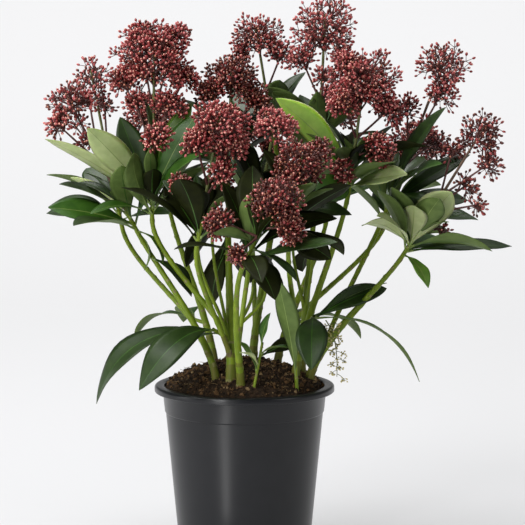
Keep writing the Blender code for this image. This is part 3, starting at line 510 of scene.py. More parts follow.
class Gathered:
    """Vertices and faces of one piece, gathered from many small shapes."""

    def __init__(self):
        self.places, self.corners, self.sizes, self.slots = [], [], [], []
        self.count = 0

    def add(self, places, faces, slots):
        """Adds (n, 3) places and (m, k) faces, with one material slot for all faces or one for each."""
        self.places.append(places)
        self.corners.append((faces + self.count).ravel())
        self.sizes.append(np.full(len(faces), faces.shape[1]))
        self.slots.append(np.broadcast_to(slots, len(faces)))
        self.count += len(places)

    def piece(self, name, materials, record_slot, replaces, smooth=True):
        corners, sizes = np.concatenate(self.corners), np.concatenate(self.sizes)
        places, slots = np.concatenate(self.places), np.concatenate(self.slots)
        mesh = bpy.data.meshes.new(name)
        mesh.vertices.add(len(places))
        mesh.vertices.foreach_set("co", places.astype(np.float32).ravel())
        mesh.loops.add(len(corners))
        mesh.loops.foreach_set("vertex_index", corners.astype(np.int32))
        mesh.polygons.add(len(sizes))
        mesh.polygons.foreach_set("loop_start", (np.cumsum(sizes) - sizes).astype(np.int32))
        for material in materials:
            mesh.materials.append(material)
        mesh.polygons.foreach_set("material_index", slots.astype(np.int32))
        mesh.polygons.foreach_set("use_smooth", np.full(len(sizes), smooth))
        mesh.update(calc_edges=True)
        declare(add_object(name, mesh), replaces)


def unit(vectors):
    return vectors / np.maximum(np.linalg.norm(vectors, axis=-1, keepdims=True), 1e-12)


def ring_faces(starts, sides):
    """Faces that join rings of places to the ring that follows each. Starts holds each ring's first place."""
    here = np.arange(sides)
    after = (here + 1) % sides
    corners = (here, after, sides + after, sides + here)
    return np.stack([starts[..., None] + corner for corner in corners], axis=-1).reshape(-1, 4)


def tubes(paths, radii, sides):
    """Tubes along many paths at once. Paths is (n, k, 3), and radii is (k,), (n, k) or (n, k, sides)."""
    paths, radii = np.asarray(paths, float), np.asarray(radii, float)
    count, knots = paths.shape[:2]
    if radii.ndim < 3:
        radii = np.broadcast_to(radii, (count, knots))[..., None]
    tangent = unit(np.gradient(paths, axis=1))
    chord = unit(paths[:, -1] - paths[:, 0])
    upright = np.abs(chord[:, 2:3]) > 0.8
    reference = np.where(upright, (1.0, 0.0, 0.0), (0.0, 0.0, 1.0))[:, None, :]
    across = unit(np.cross(tangent, reference))
    other = np.cross(tangent, across)
    turn = np.arange(sides) * math.tau / sides
    ring = across[:, :, None] * np.cos(turn)[:, None] + other[:, :, None] * np.sin(turn)[:, None]
    places = (paths[:, :, None] + ring * radii[..., None]).reshape(-1, 3)
    starts = (np.arange(count)[:, None] * knots + np.arange(knots - 1)) * sides
    return places, ring_faces(starts, sides)


# Curves

def along(points, share):
    """The point at share, from 0 to 1, along a Bezier curve with these control points."""
    while len(points) > 1:
        points = [a.lerp(b, share) for a, b in zip(points, points[1:])]
    return points[0]


def heading(points, share):
    step = 0.01
    ahead = along(points, min(share + step, 1))
    behind = along(points, max(share - step, 0))
    return (ahead - behind).normalized()


def way_at(polar, turn):
    """The direction at this angle from straight up, turned about Z."""
    return Vector((math.sin(polar) * math.cos(turn), math.sin(polar) * math.sin(turn), math.cos(polar)))


# The pot and its compost

def mesh_of(bm, name):
    mesh = bpy.data.meshes.new(name)
    bm.to_mesh(mesh)
    bm.free()
    return mesh


def wall_radius(height):
    return BASE_RADIUS + WALL_TAPER * height


def corner(across, height, radius, first, last, steps=6):
    """Points round an arc, as (radius, height), between two angles in degrees."""
    turns = [math.radians(first + (last - first) * i / steps) for i in range(steps + 1)]
    return [(across + radius * math.cos(turn), height + radius * math.sin(turn)) for turn in turns]


def pot_profile():
    """The pot's section: from the middle of its underside up the outside, over the lip and down inside."""
    collar_foot = COLLAR_HEIGHT - COLLAR_STEP
    collar = wall_radius(COLLAR_HEIGHT) + COLLAR_STEP
    lip_foot = POT_HEIGHT - LIP_DEPTH
    neck = wall_radius(lip_foot) + COLLAR_STEP
    mouth = neck - WALL
    return [
        (0, 0.8),
        (BASE_RADIUS - 9, 0.8),
        (BASE_RADIUS - 8, 0),
        (BASE_RADIUS - 1.8, 0),
        *corner(BASE_RADIUS - 1.5, 1.5, 1.5, -80, 0),
        (wall_radius(40), 40),
        (wall_radius(80), 80),
        (wall_radius(120), 120),
        (wall_radius(collar_foot), collar_foot),
        (wall_radius(collar_foot) + 0.3, collar_foot + 0.2),
        (collar - 0.2, COLLAR_HEIGHT),
        (collar, COLLAR_HEIGHT + 0.4),
        (neck, lip_foot - 0.6),
        (neck + 0.5, lip_foot),
        *corner(RIM_RADIUS - 1.2, lip_foot + 1.2, 1.2, -90, 0, 4),
        *corner(RIM_RADIUS - 2.6, POT_HEIGHT - 2.6, 2.6, 0, 90),
        *corner(mouth + 2, POT_HEIGHT - 2, 2, 90, 180),
        (collar - WALL, COLLAR_HEIGHT),
        (wall_radius(FLOOR) - WALL, FLOOR),
        (0, FLOOR),
    ]


def turned_shell():
    bm = bmesh.new()
    points = [bm.verts.new((radius * MM, 0, height * MM)) for radius, height in pot_profile()]
    edges = [bm.edges.new(pair) for pair in zip(points, points[1:])]
    bmesh.ops.spin(bm, geom=points + edges, cent=(0, 0, 0), axis=(0, 0, 1), angle=math.tau, steps=POT_STEPS,
                   use_merge=True)
    bmesh.ops.remove_doubles(bm, verts=bm.verts, dist=0.01 * MM)
    bmesh.ops.recalc_face_normals(bm, faces=bm.faces)
    return mesh_of(bm, "grower_pot")


def drain_drills():
    bm = bmesh.new()
    for i in range(DRAIN_HOLES):
        angle = math.tau * i / DRAIN_HOLES
        centre = point((math.cos(angle) * DRAIN_CIRCLE, math.sin(angle) * DRAIN_CIRCLE, FLOOR / 2))
        bmesh.ops.create_cone(bm, cap_ends=True, segments=32, radius1=DRAIN_RADIUS * MM, depth=4 * FLOOR * MM,
                              radius2=DRAIN_RADIUS * MM, matrix=Matrix.Translation(centre))
    return mesh_of(bm, "drill")


def build_pot():
    pot = add_object("grower_pot", turned_shell())
    drill = add_object("drill", drain_drills())
    cut = pot.modifiers.new("Drain holes", "BOOLEAN")
    cut.object = drill
    cut.solver = "EXACT"
    pot.data = bpy.data.meshes.new_from_object(pot.evaluated_get(bpy.context.evaluated_depsgraph_get()))
    pot.modifiers.clear()
    bpy.data.objects.remove(drill)
    pot.data.materials.clear()
    pot.data.materials.append(PLASTIC)
    pot.data.shade_smooth()
    pot.data.set_sharp_from_angle(angle=math.radians(SHARP_ANGLE))
    declare(pot, ["pot"])


def mound_height(radius):
    """Height of the compost's surface at this distance from the pot's axis, in millimetres."""
    share = min(radius / MOUND_RADIUS, 1)
    return MOUND_EDGE + (MOUND_TOP - MOUND_EDGE) * (1 - share * share)


def compost_height(x, y):
    """Height of the uneven surface at a place given in millimetres."""
    radius = math.hypot(x, y)
    edge = min(1, (MOUND_RADIUS - radius) / EDGE_WIDTH)
    lumps = noise.fractal(Vector((x, y, 3)) * LUMP_SCALE, 1.0, 2.1, 5)
    return mound_height(radius) - EDGE_DIP * (1 - max(0, edge)) + LUMP_HEIGHT * lumps


def on_compost(radii, turns, above):
    """Places at these distances and turns about the pot's axis, this far above the uneven surface."""
    flat = [(radius * math.cos(turn), radius * math.sin(turn)) for radius, turn in zip(radii, turns)]
    heights = np.array([compost_height(x, y) for x, y in flat]) + above
    return np.column_stack([np.array(flat), heights])


def lay_mound(gathered):
    turns = math.tau * np.arange(MOUND_STEPS) / MOUND_STEPS
    radii = MOUND_RADIUS * np.arange(1, MOUND_RINGS + 1) / MOUND_RINGS
    rings = on_compost(np.repeat(radii, MOUND_STEPS), np.tile(turns, MOUND_RINGS), 0)
    skirt = rings[-MOUND_STEPS:].copy()
    skirt[:, 2] = MOUND_EDGE - SKIRT_DEPTH
    places = np.concatenate([[(0, 0, compost_height(0, 0))], rings, skirt]) * MM
    quads = ring_faces(1 + np.arange(MOUND_RINGS) * MOUND_STEPS, MOUND_STEPS)[:, [0, 3, 2, 1]]
    gathered.add(places, quads, 0)
    here = np.arange(MOUND_STEPS)
    fan = np.stack([np.zeros(MOUND_STEPS, int), 1 + here, 1 + (here + 1) % MOUND_STEPS], axis=-1)
    gathered.add(places[:MOUND_STEPS + 1], fan, 0)


def scattered(rng, count, reach, fill):
    """Distances and turns about the pot's axis, evenly spread over a disc."""
    return reach * np.sqrt(rng.uniform(0, fill, count)), rng.uniform(0, math.tau, count)


def lay_crumbs(gathered, rng):
    ball = bmesh.new()
    bmesh.ops.create_icosphere(ball, subdivisions=1, radius=1)
    template = np.array([vertex.co for vertex in ball.verts])
    faces = np.array([[vertex.index for vertex in face.verts] for face in ball.faces])
    ball.free()
    count = CRUMBS_LAID
    radii, turns = scattered(rng, count, MOUND_RADIUS, 0.97)
    sizes = 0.8 + 2.0 * rng.uniform(0, 1, count) ** 3
    spots = on_compost(radii, turns, 0.3 * sizes)
    shapes = template[None] * rng.uniform(0.55, 1.25, (count, len(template), 1)) * sizes[:, None, None]
    shapes *= rng.uniform(0.6, 1.3, (count, 1, 3))
    places = (shapes + spots[:, None]).reshape(-1, 3) * MM
    all_faces = (faces[None] + (np.arange(count) * len(template))[:, None, None]).reshape(-1, 3)
    kinds = rng.choice([1, 2, 3], count, p=CRUMB_KINDS)
    gathered.add(places, all_faces, np.repeat(kinds, len(faces)))


def lay_fibres(gathered, rng):
    count = FIBRES_LAID
    starts = on_compost(*scattered(rng, count, MOUND_RADIUS - EDGE_WIDTH, 1), 0.6)
    bearing = rng.uniform(0, math.tau, count)
    length = rng.uniform(*FIBRE_LENGTHS, count)
    run = np.stack([np.cos(bearing), np.sin(bearing), rng.uniform(-0.1, 0.35, count)], axis=-1)
    run *= length[:, None]
    bend = rng.uniform(-0.25, 0.25, (count, 3)) * length[:, None]
    paths = np.stack([starts, starts + run / 2 + bend, starts + run], axis=1)
    places, quads = tubes(paths * MM, np.array((0.22, 0.28, 0.12)) * MM, 4)
    gathered.add(places, quads, np.repeat(rng.choice([2, 3], count), len(quads) // count))


def build_compost():
    gathered = Gathered()
    rng = np.random.default_rng(11)
    lay_mound(gathered)
    lay_crumbs(gathered, rng)
    lay_fibres(gathered, rng)
    gathered.piece("compost_surface", [COMPOST, *CRUMBS], "compost", ["compost"], smooth=False)


# Stems

def crown_heading(shoot):
    return (shoot.domes[0].centre - point(shoot.whorl)).normalized()


def root_of(limb, stems):
    """Where a stem or low spray starts: in the compost under its foot, or on its parent's curve."""
    if limb.foot:
        return point((*limb.foot, mound_height(math.hypot(*limb.foot)) - STEM_BURIED))
    parent = stems[limb.parent]
    return along(parent.controls, parent.at_height(limb.fork))


class Stem:
    """A stem's curve, from its root in the compost or in its parent up to its whorl."""

    def __init__(self, shoot, stems):
        whorl = point(shoot.whorl)
        root = root_of(shoot, stems)
        rise = UP if shoot.foot else ((whorl - root).normalized() * 2 + UP).normalized()
        reach = (whorl - root).length * STEM_STIFFNESS
        self.shoot = shoot
        self.controls = [root, root + rise * reach, whorl - crown_heading(shoot) * reach, whorl]
        self.start_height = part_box(f"stem_{shoot.name}")[0].z

    def at_height(self, rise):
        """The share of the curve that is this many millimetres above the lower end of the stem's solid."""
        wanted = self.start_height + rise * MM
        shares = [i / STEM_SEARCH_STEPS for i in range(STEM_SEARCH_STEPS + 1)]
        return min(shares, key=lambda share: abs(along(self.controls, share).z - wanted))

    def radius(self, share):
        """Radius in metres: a root flare at the compost, then an even taper."""
        foot = self.shoot.radius * (1 if self.shoot.foot else FORK_RADIUS_SHARE)
        flare = 1 + (ROOT_FLARE - 1) * max(0, 1 - share / FLARE_SHARE) if self.shoot.foot else 1
        return (foot + (HEAD_RADIUS - foot) * min(1, share / TAPER_SHARE)) * flare * MM


def turned_apart(first, second):
    return abs((first - second + math.pi) % math.tau - math.pi)


def leaf_scars(length, rng):
    """How far along a stem of this length each old leaf has fallen, and its turn about the stem."""
    scars, spot = [], rng.uniform(*FIRST_SCAR)
    while spot < length - 3:
        scars.append((spot, rng.uniform(-math.pi, math.pi)))
        spot += rng.uniform(*SCARS_APART)
    return scars


def bark_radius(radius, age, length, turn, scars, seed):
    """Radius at a turn about the stem: a swelling at each scar, a ridge under it, and lengthwise wrinkles."""
    swell = sum(0.07 * math.exp(-((length - spot) / 2.2) ** 2) for spot, _ in scars)
    across = Vector((math.cos(turn) * 3.2, math.sin(turn) * 3.2, length * 0.045 + seed))
    wrinkle = noise.fractal(across, 1.0, 2.0, 3)
    ridge = 0.0
    for spot, scar_turn in scars:
        apart = turned_apart(turn, scar_turn)
        if abs(length - spot) < 6 and apart < 1.4:
            ridge += 0.5 * math.exp(-((length - spot) / SCAR_HALF_LENGTH) ** 2 - (apart / 0.6) ** 2)
    return radius * (1 + swell) + ((0.12 + 0.4 * age) * wrinkle + ridge) * MM


def bark_slot(age, length, turn, scars):
    for spot, scar_turn in scars:
        if abs(length - spot) < SCAR_HALF_LENGTH and turned_apart(turn, scar_turn) < SCAR_HALF_TURN:
            return SCAR_SLOT
    return 0 if age > OLD_BARK else 1 if age > TURNING_BARK else 2


def bark(gathered, path, radii, ages, rng):
    """A stem's skin along a path, with lengthwise wrinkles and a pale scar where each old leaf has fallen."""
    lengths = [0.0]
    for a, b in zip(path, path[1:]):
        lengths.append(lengths[-1] + (b - a).length / MM)
    scars = leaf_scars(lengths[-1], rng)
    seed = path[0].x * 900
    turns = [math.tau * j / STEM_SIDES for j in range(STEM_SIDES)]
    skin = [[bark_radius(radius, age, length, turn, scars, seed) for turn in turns]
            for radius, age, length in zip(radii, ages, lengths)]
    middles = [math.tau * (j + 0.5) / STEM_SIDES for j in range(STEM_SIDES)]
    slots = [bark_slot(ages[i] + 0.12 * math.sin(7.1 * i), lengths[i], turn, scars)
             for i in range(len(path) - 1) for turn in middles]
    gathered.add(*tubes(np.array([path]), np.array([skin]), STEM_SIDES), slots)


def thin_twig(gathered, stem, share, reached, radius):
    """A twig that leaves the stem's curve at this share of it and tapers up to the point it reaches."""
    root = along(stem, share)
    reach = (reached - root).length * THIN_TWIG_BEND
    leaving = (heading(stem, share) + 0.6 * (reached - root).normalized()).normalized()
    controls = [root, root + leaving * reach, reached - UP * reach, reached]
    shares = [i / THIN_TWIG_STEPS for i in range(THIN_TWIG_STEPS + 1)]
    radii = [radius * MM * (1 - THIN_TWIG_TAPER * share) for share in shares]
    path = [along(controls, share) for share in shares]
    bark(gathered, path, radii, [0.0] * len(shares), random.Random(radius))


def build_stem(stem):
    name, controls = stem.shoot.name, stem.controls
    span = sum((along(controls, (i + 1) / 20) - along(controls, i / 20)).length for i in range(20))
    knots = max(20, int(span / (RING_SPACING * MM)))
    shares = [i / (knots - 1) for i in range(knots)]
    path = [along(controls, share) for share in shares]
    radii = [stem.radius(share) for share in shares]
    for step in (0.3, 0.8, JOINT_GAP + 1.2):
        path.append(point(stem.shoot.whorl) + crown_heading(stem.shoot) * (step * MM))
        radii.append(HEAD_RADIUS * MM)
    low = path[0].z if stem.shoot.foot else FORK_LEVEL
    ages = [max(0, OLDEST_BARK - (place.z - low) / AGE_FADES_OVER) for place in path]
    gathered = Gathered()
    bark(gathered, path, radii, ages, random.Random("bark_" + name))
    for share, reached, radius in stem.shoot.twigs:
        thin_twig(gathered, controls, share, point(reached), radius)
    gathered.piece(f"bark_{name}", BARK, "stem_bark", [f"stem_{name}"])


# Leaves

def half_widths(shares, width):
    """Half a blade's width at shares of its length: a short petiole, widest past the middle, a blunt tip."""
    blade = np.clip((shares - PETIOLE_SHARE) / (1 - PETIOLE_SHARE), 0, 1)
    swell = np.clip(np.sin(np.pi * blade ** 1.3), 0, 1) ** 0.85
    return np.maximum(swell * width / 2, PETIOLE_HALF_WIDTH * (1 - blade) * MM)


class Blade:
    """A leaf in space: an arched curve from its root to its tip, and the way that lies straight across it."""

    def __init__(self, root, tip, arch, roll, width, tone="mid"):
        chord = tip - root
        outwards = Vector((chord.x, chord.y, 0))
        if outwards.length < 0.25 * chord.length:
            outwards = Vector((root.x, root.y, 0))
        looks = UP - 0.6 * outwards.normalized()
        looks.rotate(Matrix.Rotation(math.radians(roll), 3, chord))
        along_chord = chord.normalized()
        lift = (looks - looks.dot(along_chord) * along_chord).normalized()
        middle = (root + tip) / 2 + lift * (2 * arch * chord.length)
        self.controls = [root, middle, tip]
        self.side = along_chord.cross(lift)
        self.width = width
        self.tone = tone


def blade_section(rib):
    """Where each column of a leaf lies between its margins, from -1 to 1: eight above, then six below."""
    right = np.stack([rib, *(np.full(LEAF_ROWS, share) for share in (0.36, 0.7, 1.0))], axis=1)
    top = np.concatenate([-right[:, ::-1], right], axis=1)
    under = np.concatenate([right[:, :-1][:, ::-1], -right[:, :-1]], axis=1)
    return np.concatenate([top, under], axis=1)


def blade_slots(tone, shares):
    """The material of each face. Leaves with painted shade (shaded) or painted light (pale, bright) have
    that tone on both sides.
    """
    columns = np.full(LEAF_COLUMNS, LEAF_SLOTS[tone if tone in ("pale", "bright", "shaded") else "underside"])
    columns[:COLUMNS_ON_TOP - 1] = LEAF_SLOTS[tone]
    # Dark-topped leaves get a darker midrib; on shaded leaves this is part of the painted shade.
    columns[RIB_COLUMNS] = LEAF_SLOTS["mid" if tone in ("shaded", "dark", "sheen") else "midrib"]
    slots = np.tile(columns, (LEAF_ROWS - 1, 1))
    slots[shares[1:] < 0.1] = LEAF_SLOTS["midrib"]
    return slots.ravel()


def add_leaf(gathered, blade, rng):
    """A leaf with a sunk midrib above and a raised one below, gently waved along its margins."""
    shares = 1 - (1 - np.linspace(0, 1, LEAF_ROWS)) ** 1.2
    first, middle, last = (np.array(control) for control in blade.controls)
    t = shares[:, None]
    spine = (1 - t) ** 2 * first + 2 * t * (1 - t) * middle + t ** 2 * last
    forward = unit((1 - t) * (middle - first) + t * (last - middle))
    side = np.array(blade.side)[None]
    face = np.cross(side, forward)
    twist = rng.uniform(-LEAF_TWIST, LEAF_TWIST) * (t - 0.25)
    side, face = side * np.cos(twist) + face * np.sin(twist), face * np.cos(twist) - side * np.sin(twist)
    half = np.maximum(half_widths(shares, blade.width), 0.12 * MM)
    rib = np.minimum(RIB_HALF_WIDTH * MM * (1.15 - shares) / half, 0.3)
    across = blade_section(rib)
    half = half[:, None]
    fold = BLADE_FOLD + rng.uniform(-0.05, 0.04)
    waves, phase, swing = rng.uniform(1.6, 2.8), rng.uniform(0, math.tau), rng.uniform(0.25, 0.7)
    wave = swing * np.sin(math.tau * waves * t + phase + np.sign(across) * 1.3) * across ** 2
    wave *= np.minimum(1, half / (6 * MM))
    thick = BLADE_HALF_THICKNESS * (1 - across ** 2) + 0.04
    at_rib = np.abs(across) <= rib[:, None] + 1e-9
    is_top = np.arange(LEAF_COLUMNS) < COLUMNS_ON_TOP
    proud = np.where(is_top, thick - 0.12 * at_rib, -thick - 0.45 * at_rib * (1.1 - t))
    proud = proud * (1 + 1.6 * np.clip(1 - (t - 0.02) / 0.12, 0, 1))
    height = np.abs(across) * half * fold * (1 + 0.35 * np.abs(across)) + (wave + proud) * MM
    places = spine[:, None] + side[:, None] * (across * half)[..., None] + face[:, None] * height[..., None]
    faces = ring_faces(np.arange(LEAF_ROWS - 1) * LEAF_COLUMNS, LEAF_COLUMNS)
    gathered.add(places.reshape(-1, 3), faces, blade_slots(blade.tone, shares))


class Outline:
    """The corners of a solid, to tell whether it holds a given leaf."""

    def __init__(self, node):
        thing = frame["nodes"][node]
        self.tree = KDTree(len(thing.data.vertices))
        for i, vertex in enumerate(thing.data.vertices):
            self.tree.insert(thing.matrix_world @ vertex.co, i)
        self.tree.balance()

    def holds(self, blade):
        return self.tree.find(blade.controls[2])[2] < 0.3 * MM


def leaning(axis, azimuth, lean):
    """The direction that leans this far from the axis, towards this azimuth round it."""
    sideways = axis.orthogonal().normalized()
    sideways.rotate(Matrix.Rotation(azimuth, 3, axis))
    return axis * math.cos(lean) + sideways * math.sin(lean)


def whorl_blade(shoot, i, attempt, foot, axis, rng):
    """The i-th leaf of a whorl: round by the golden angle, the lower ones longer and flatter."""
    level = i / max(1, shoot.leaves - 1)
    sway = rng.uniform(-AZIMUTH_VARIES, AZIMUTH_VARIES) * attempt / LEAF_TRIES
    azimuth = math.radians(shoot.turn) + i * GOLDEN_ANGLE + sway
    lean = math.radians(LEAF_LEAN - LEAN_LOSS * level + rng.uniform(-LEAN_VARIES, LEAN_VARIES) * attempt / 3)
    length = LEAF_LENGTH - LENGTH_LOSS * level + rng.uniform(*LENGTH_VARIES)
    length *= (1 - SHORTER_BY_TRY * attempt) * MM
    width = rng.uniform(*LEAF_WIDTHS) * length / WIDTH_AT_LENGTH
    root = foot + axis * ((0.12 + 0.7 * level) * LEAFY_LENGTH * MM)
    droop = UP * (-length * rng.uniform(*LEAF_DROOPS))
    arch = rng.uniform(*LEAF_ARCHES)
    roll = rng.uniform(-LEAF_ROLL, LEAF_ROLL)
    return Blade(root, root + leaning(axis, azimuth, lean) * length + droop, arch, roll, width)


def whorl_blades(shoot, foot, axis):
    """The leaves of a whorl, each at the first try that the solid has a leaf for."""
    owner = f"leaves_{shoot.name}"
    rng = random.Random(owner)
    outline = Outline(owner)
    blades = []
    for i in range(shoot.leaves):
        for attempt in range(LEAF_TRIES):
            blade = whorl_blade(shoot, i, attempt, foot, axis, rng)
            if outline.holds(blade):
                blades.append(blade)
                break
    return blades


def young_blades(shoot, foot, axis):
    """The small upright leaves that close the top of a whorl, under the flower stalk."""
    rng = random.Random("young_" + shoot.name)
    blades = []
    for i in range(YOUNG_LEAVES):
        azimuth = math.radians(shoot.turn) + (shoot.leaves + i) * GOLDEN_ANGLE
        lean = math.radians(rng.uniform(22, 46))
        length = rng.uniform(34, 58) * MM
        root = foot + axis * ((0.84 + 0.03 * i) * LEAFY_LENGTH * MM)
        blades.append(Blade(root, root + leaning(axis, azimuth, lean) * length, rng.uniform(0.04, 0.12),
                            rng.uniform(-25, 25), rng.uniform(0.24, 0.3) * length))
    return blades


def build_leaves(shoot, foot, top, radius, blades=()):
    """A leafy twig, with its listed leaves and the blades of its whorl."""
    name = shoot.name
    gathered = Gathered()
    rng = random.Random("look_" + name)
    for leaf in shoot.own_leaves:
        root, tip = foot.lerp(top, leaf.height), point((leaf.x, leaf.y, leaf.z))
        add_leaf(gathered, Blade(root, tip, leaf.arch, leaf.roll, leaf.width * MM, leaf.tone), rng)
    # Whorl leaves of a shaded shoot mostly take the shaded tone, which is painted shade under the flower
    # heads.
    usual = ["shaded", "shaded", "shaded", "dark"] if shoot.shaded else ["dark", "dark", "dark", "mid"]
    for blade in blades:
        blade.tone = rng.choice(usual)
        add_leaf(gathered, blade, rng)
    gathered.piece(f"foliage_{name}", LEAF_MATERIALS, "foliage", [f"leaves_{name}"])
    twig = Gathered()
    steps = max(8, int((top - foot).length / (RING_SPACING * MM)))
    shares = [i / (steps - 1) for i in range(steps)]
    path = [foot.lerp(top, share) for share in shares]
    radii = [radius * MM * (1 - LEAFY_TAPER * share) for share in shares]
    bark(twig, path, radii, [0.0] * steps, random.Random("twig_" + name))
    if name == "low_right":
        add_dried_spray(twig)
    twig.piece(f"twig_{name}", TWIG_MATERIALS, "foliage", [f"leaves_{name}"])


# Last year's flower spray, dried, that hangs beside the low right-hand leaves

DRIED_SPRAY = ((84, -48, 252), (97, -62, 236), (95, -66, 196))
DRIED_KNOTS = 16
DRIED_TWIGS = 22
DRIED_BUDS = 7
DRIED_TWIG_RADII = np.array((0.32, 0.3, 0.28)) * MM
DRIED_BUD_RADII = np.array((0.4, 0.85, 0.8, 0.08)) * MM
DRIED_STICK_RADII = np.array((0.22, 0.22)) * MM


def add_dried_spray(twig):
    rng = np.random.default_rng(5)
    controls = [point(place) for place in DRIED_SPRAY]
    path = np.array([along(controls, i / (DRIED_KNOTS - 1)) for i in range(DRIED_KNOTS)])
    twig.add(*tubes([path], np.linspace(0.7, 0.35, DRIED_KNOTS) * MM, 5), DRIED_STALK_SLOT)
    for i in range(DRIED_TWIGS):
        start = np.array(along(controls, 0.1 + 0.9 * i / DRIED_TWIGS))
        way = unit(np.array([math.cos(2.4 * i), math.sin(2.4 * i), rng.uniform(-0.9, 0.2)]))
        end = start + way * rng.uniform(5, 10) * MM
        middle = (start + end) / 2 + (0, 0, 0.6 * MM)
        twig.add(*tubes([[start, middle, end]], DRIED_TWIG_RADII, 4), DRIED_STALK_SLOT)
        for _ in range(DRIED_BUDS):
            bud = end + rng.uniform(-3.2, 3.2, 3) * MM
            out = unit(bud - start) * rng.uniform(1.6, 2.3) * MM
            knots = [bud + out * share for share in (0, 0.25, 0.6, 1)]
            twig.add(*tubes([knots], DRIED_BUD_RADII, BUD_SIDES), DRIED_BUD_SLOT)
            twig.add(*tubes([[end, bud]], DRIED_STICK_RADII, 3), DRIED_STALK_SLOT)


# Flower heads

def stalk_controls(start, leaving, dome):
    """A dome's stalk: it leaves start in the given direction and runs up through the dome's centre."""
    span = (dome.centre - start).length
    arriving = ((dome.centre - start).normalized() + 0.5 * UP).normalized()
    top = dome.centre + arriving * (STALK_ABOVE_CENTRE * dome.along * MM)
    return [start, start + leaving * (span * STALK_BEND), top]


class Head:
    """The flower head of one shoot: its stalks and buds."""

    def __init__(self, shoot):
        self.shoot = shoot
        self.rng = random.Random("head_" + shoot.name)
        self.twigs, self.buds = Gathered(), Gathered()

    def stalk(self, controls, first, last, slot, knots=14, sides=7):
        path = np.array([along(controls, i / (knots - 1)) for i in range(knots)])
        radii = np.linspace(first, last, knots) * MM
        radii[1::4] *= 1.12
        self.twigs.add(*tubes([path], radii, sides), slot)

    def between(self, main, side, stalk):
        """Looser sprays between the main dome and one at its side, so that they run together."""
        middle = (main.centre + side.centre) / 2 / MM
        across = 0.35 * (main.across + side.across)
        self.dome(Dome(*middle, across, across, 1), stalk, 0.6)

    def hubs(self, dome, stalk, axis, spin):
        """Places inside a dome from which its sprays fan out, each on a branch of the stalk."""
        rng = self.rng
        length = (stalk[-1] - stalk[0]).length
        count = max(3, dome.clusters + 3)
        hubs = []
        for i in range(count):
            polar = math.acos(1 - (i + 0.5) / count * DOME_COVER)
            way = spin @ way_at(polar, i * GOLDEN_ANGLE + rng.uniform(0, 1))
            hub = dome.centre + way * (HUB_REACH * dome.across * MM)
            below = (STALK_ABOVE_CENTRE * dome.along * MM - (hub - dome.centre).dot(axis)
                     + HUB_DROP * dome.across * MM)
            hubs.append((hub, along(stalk, max(0.06, 1 - below / length))))
        paths = [[root, root.lerp(hub, 0.5) + (hub - root).cross(UP) * rng.uniform(-0.08, 0.08), hub]
                 for hub, root in hubs]
        self.twigs.add(*tubes(paths, HUB_BRANCH_RADII, 5), RED_STALK)
        return [hub for hub, _ in hubs]

    def spray(self, dome, cover, turn, axis, spin):
        """Where a spray forks into its buds, and the way it faces. Cover goes from 0 at the dome's top to 1
        at its lower edge. Some sprays lie deeper, inside the dome."""
        rng = self.rng
        inner = rng.random() < INNER_SHARE
        polar = math.acos(1 - cover * (DOME_COVER + 0.05))
        local = way_at(polar, turn + rng.uniform(-0.25, 0.25))
        seed = Vector((dome.x, dome.y, dome.z)) * 0.37
        lobes = 1 + 0.3 * noise.noise(local * 2.4 + seed)
        depth = rng.uniform(*(INNER_DEPTHS if inner else OUTER_DEPTHS))
        reach = Vector((dome.across - 4, dome.across - 4, dome.along - 4)) * (MM * SPREAD * depth * lobes)
        centre = dome.centre + spin @ Vector(r * c for r, c in zip(reach, local))
        out = ((spin @ local) + 0.35 * axis + 0.12 * UP).normalized()
        return centre - out * (SPRAY_HEIGHT * MM), out

    def fan(self, base, out):
        """The buds of one spray: for each the path of its stick, its own path, its radii and its tint."""
        rng = self.rng
        # The head's tone, with its painted shade or painted light, varied at random by spray and by bud.
        tint = min(2, max(0, self.shoot.redness_and_shading + rng.choice([-1, 0, 0, 0, 1])))
        number = rng.randint(3, 5) if self.shoot.airy else rng.randint(5, 8)
        shortest, longest = (5.0, 9.0) if self.shoot.airy else (4.0, 7.2)
        spin = UP.rotation_difference(out).to_matrix()
        first_turn = rng.uniform(0, math.tau)
        for j in range(number):
            lean = math.acos(1 - (j + 0.4) / number * 0.86)
            way = spin @ way_at(lean, first_turn + j * GOLDEN_ANGLE)
            foot = base + way * (rng.uniform(shortest, longest) * MM)
            length = rng.uniform(*BUD_LENGTHS) * MM
            leaning_out = (way + out * 0.35).normalized()
            path = [tuple(foot + leaning_out * (length * station)) for station in BUD_STATIONS]
            girth = rng.uniform(*BUD_GIRTHS) * MM
            own_tint = tint if rng.random() < BUDS_LIKE_THEIR_SPRAY else rng.randint(0, 2)
            yield [tuple(base), tuple(foot)], path, [girth * swell for swell in BUD_SWELL], own_tint

    def dome(self, dome, stalk, share=1.0):
        """One dome of buds. Share is how many sprays it has, against a full dome."""
        rng = self.rng
        axis = heading(stalk, 1)
        spin = UP.rotation_difference(axis).to_matrix()
        area = 4 * math.pi * dome.across * (dome.across + dome.along) / 2 * DOME_SHARE
        count = max(5, round(area / AREA_OF_A_SPRAY * self.shoot.fullness * CROWDING * share))
        hubs = self.hubs(dome, stalk, axis, spin)
        branches, buds = [], []
        for i in range(count):
            base, out = self.spray(dome, (i + 0.5) / count, i * GOLDEN_ANGLE, axis, spin)
            hub = min(hubs, key=lambda place: (place - base).length)
            sag = (base - hub).cross(out) * rng.uniform(-0.1, 0.1)
            branches.append([tuple(hub), tuple(hub.lerp(base, 0.55) + sag), tuple(base)])
            buds.extend(self.fan(base, out))
        sticks, paths, radii, tints = zip(*buds)
        self.twigs.add(*tubes(branches, BRANCH_RADII, 4), RED_STALK)
        self.twigs.add(*tubes(sticks, STICK_RADII, 3), RED_STALK)
        tints = np.array(tints)
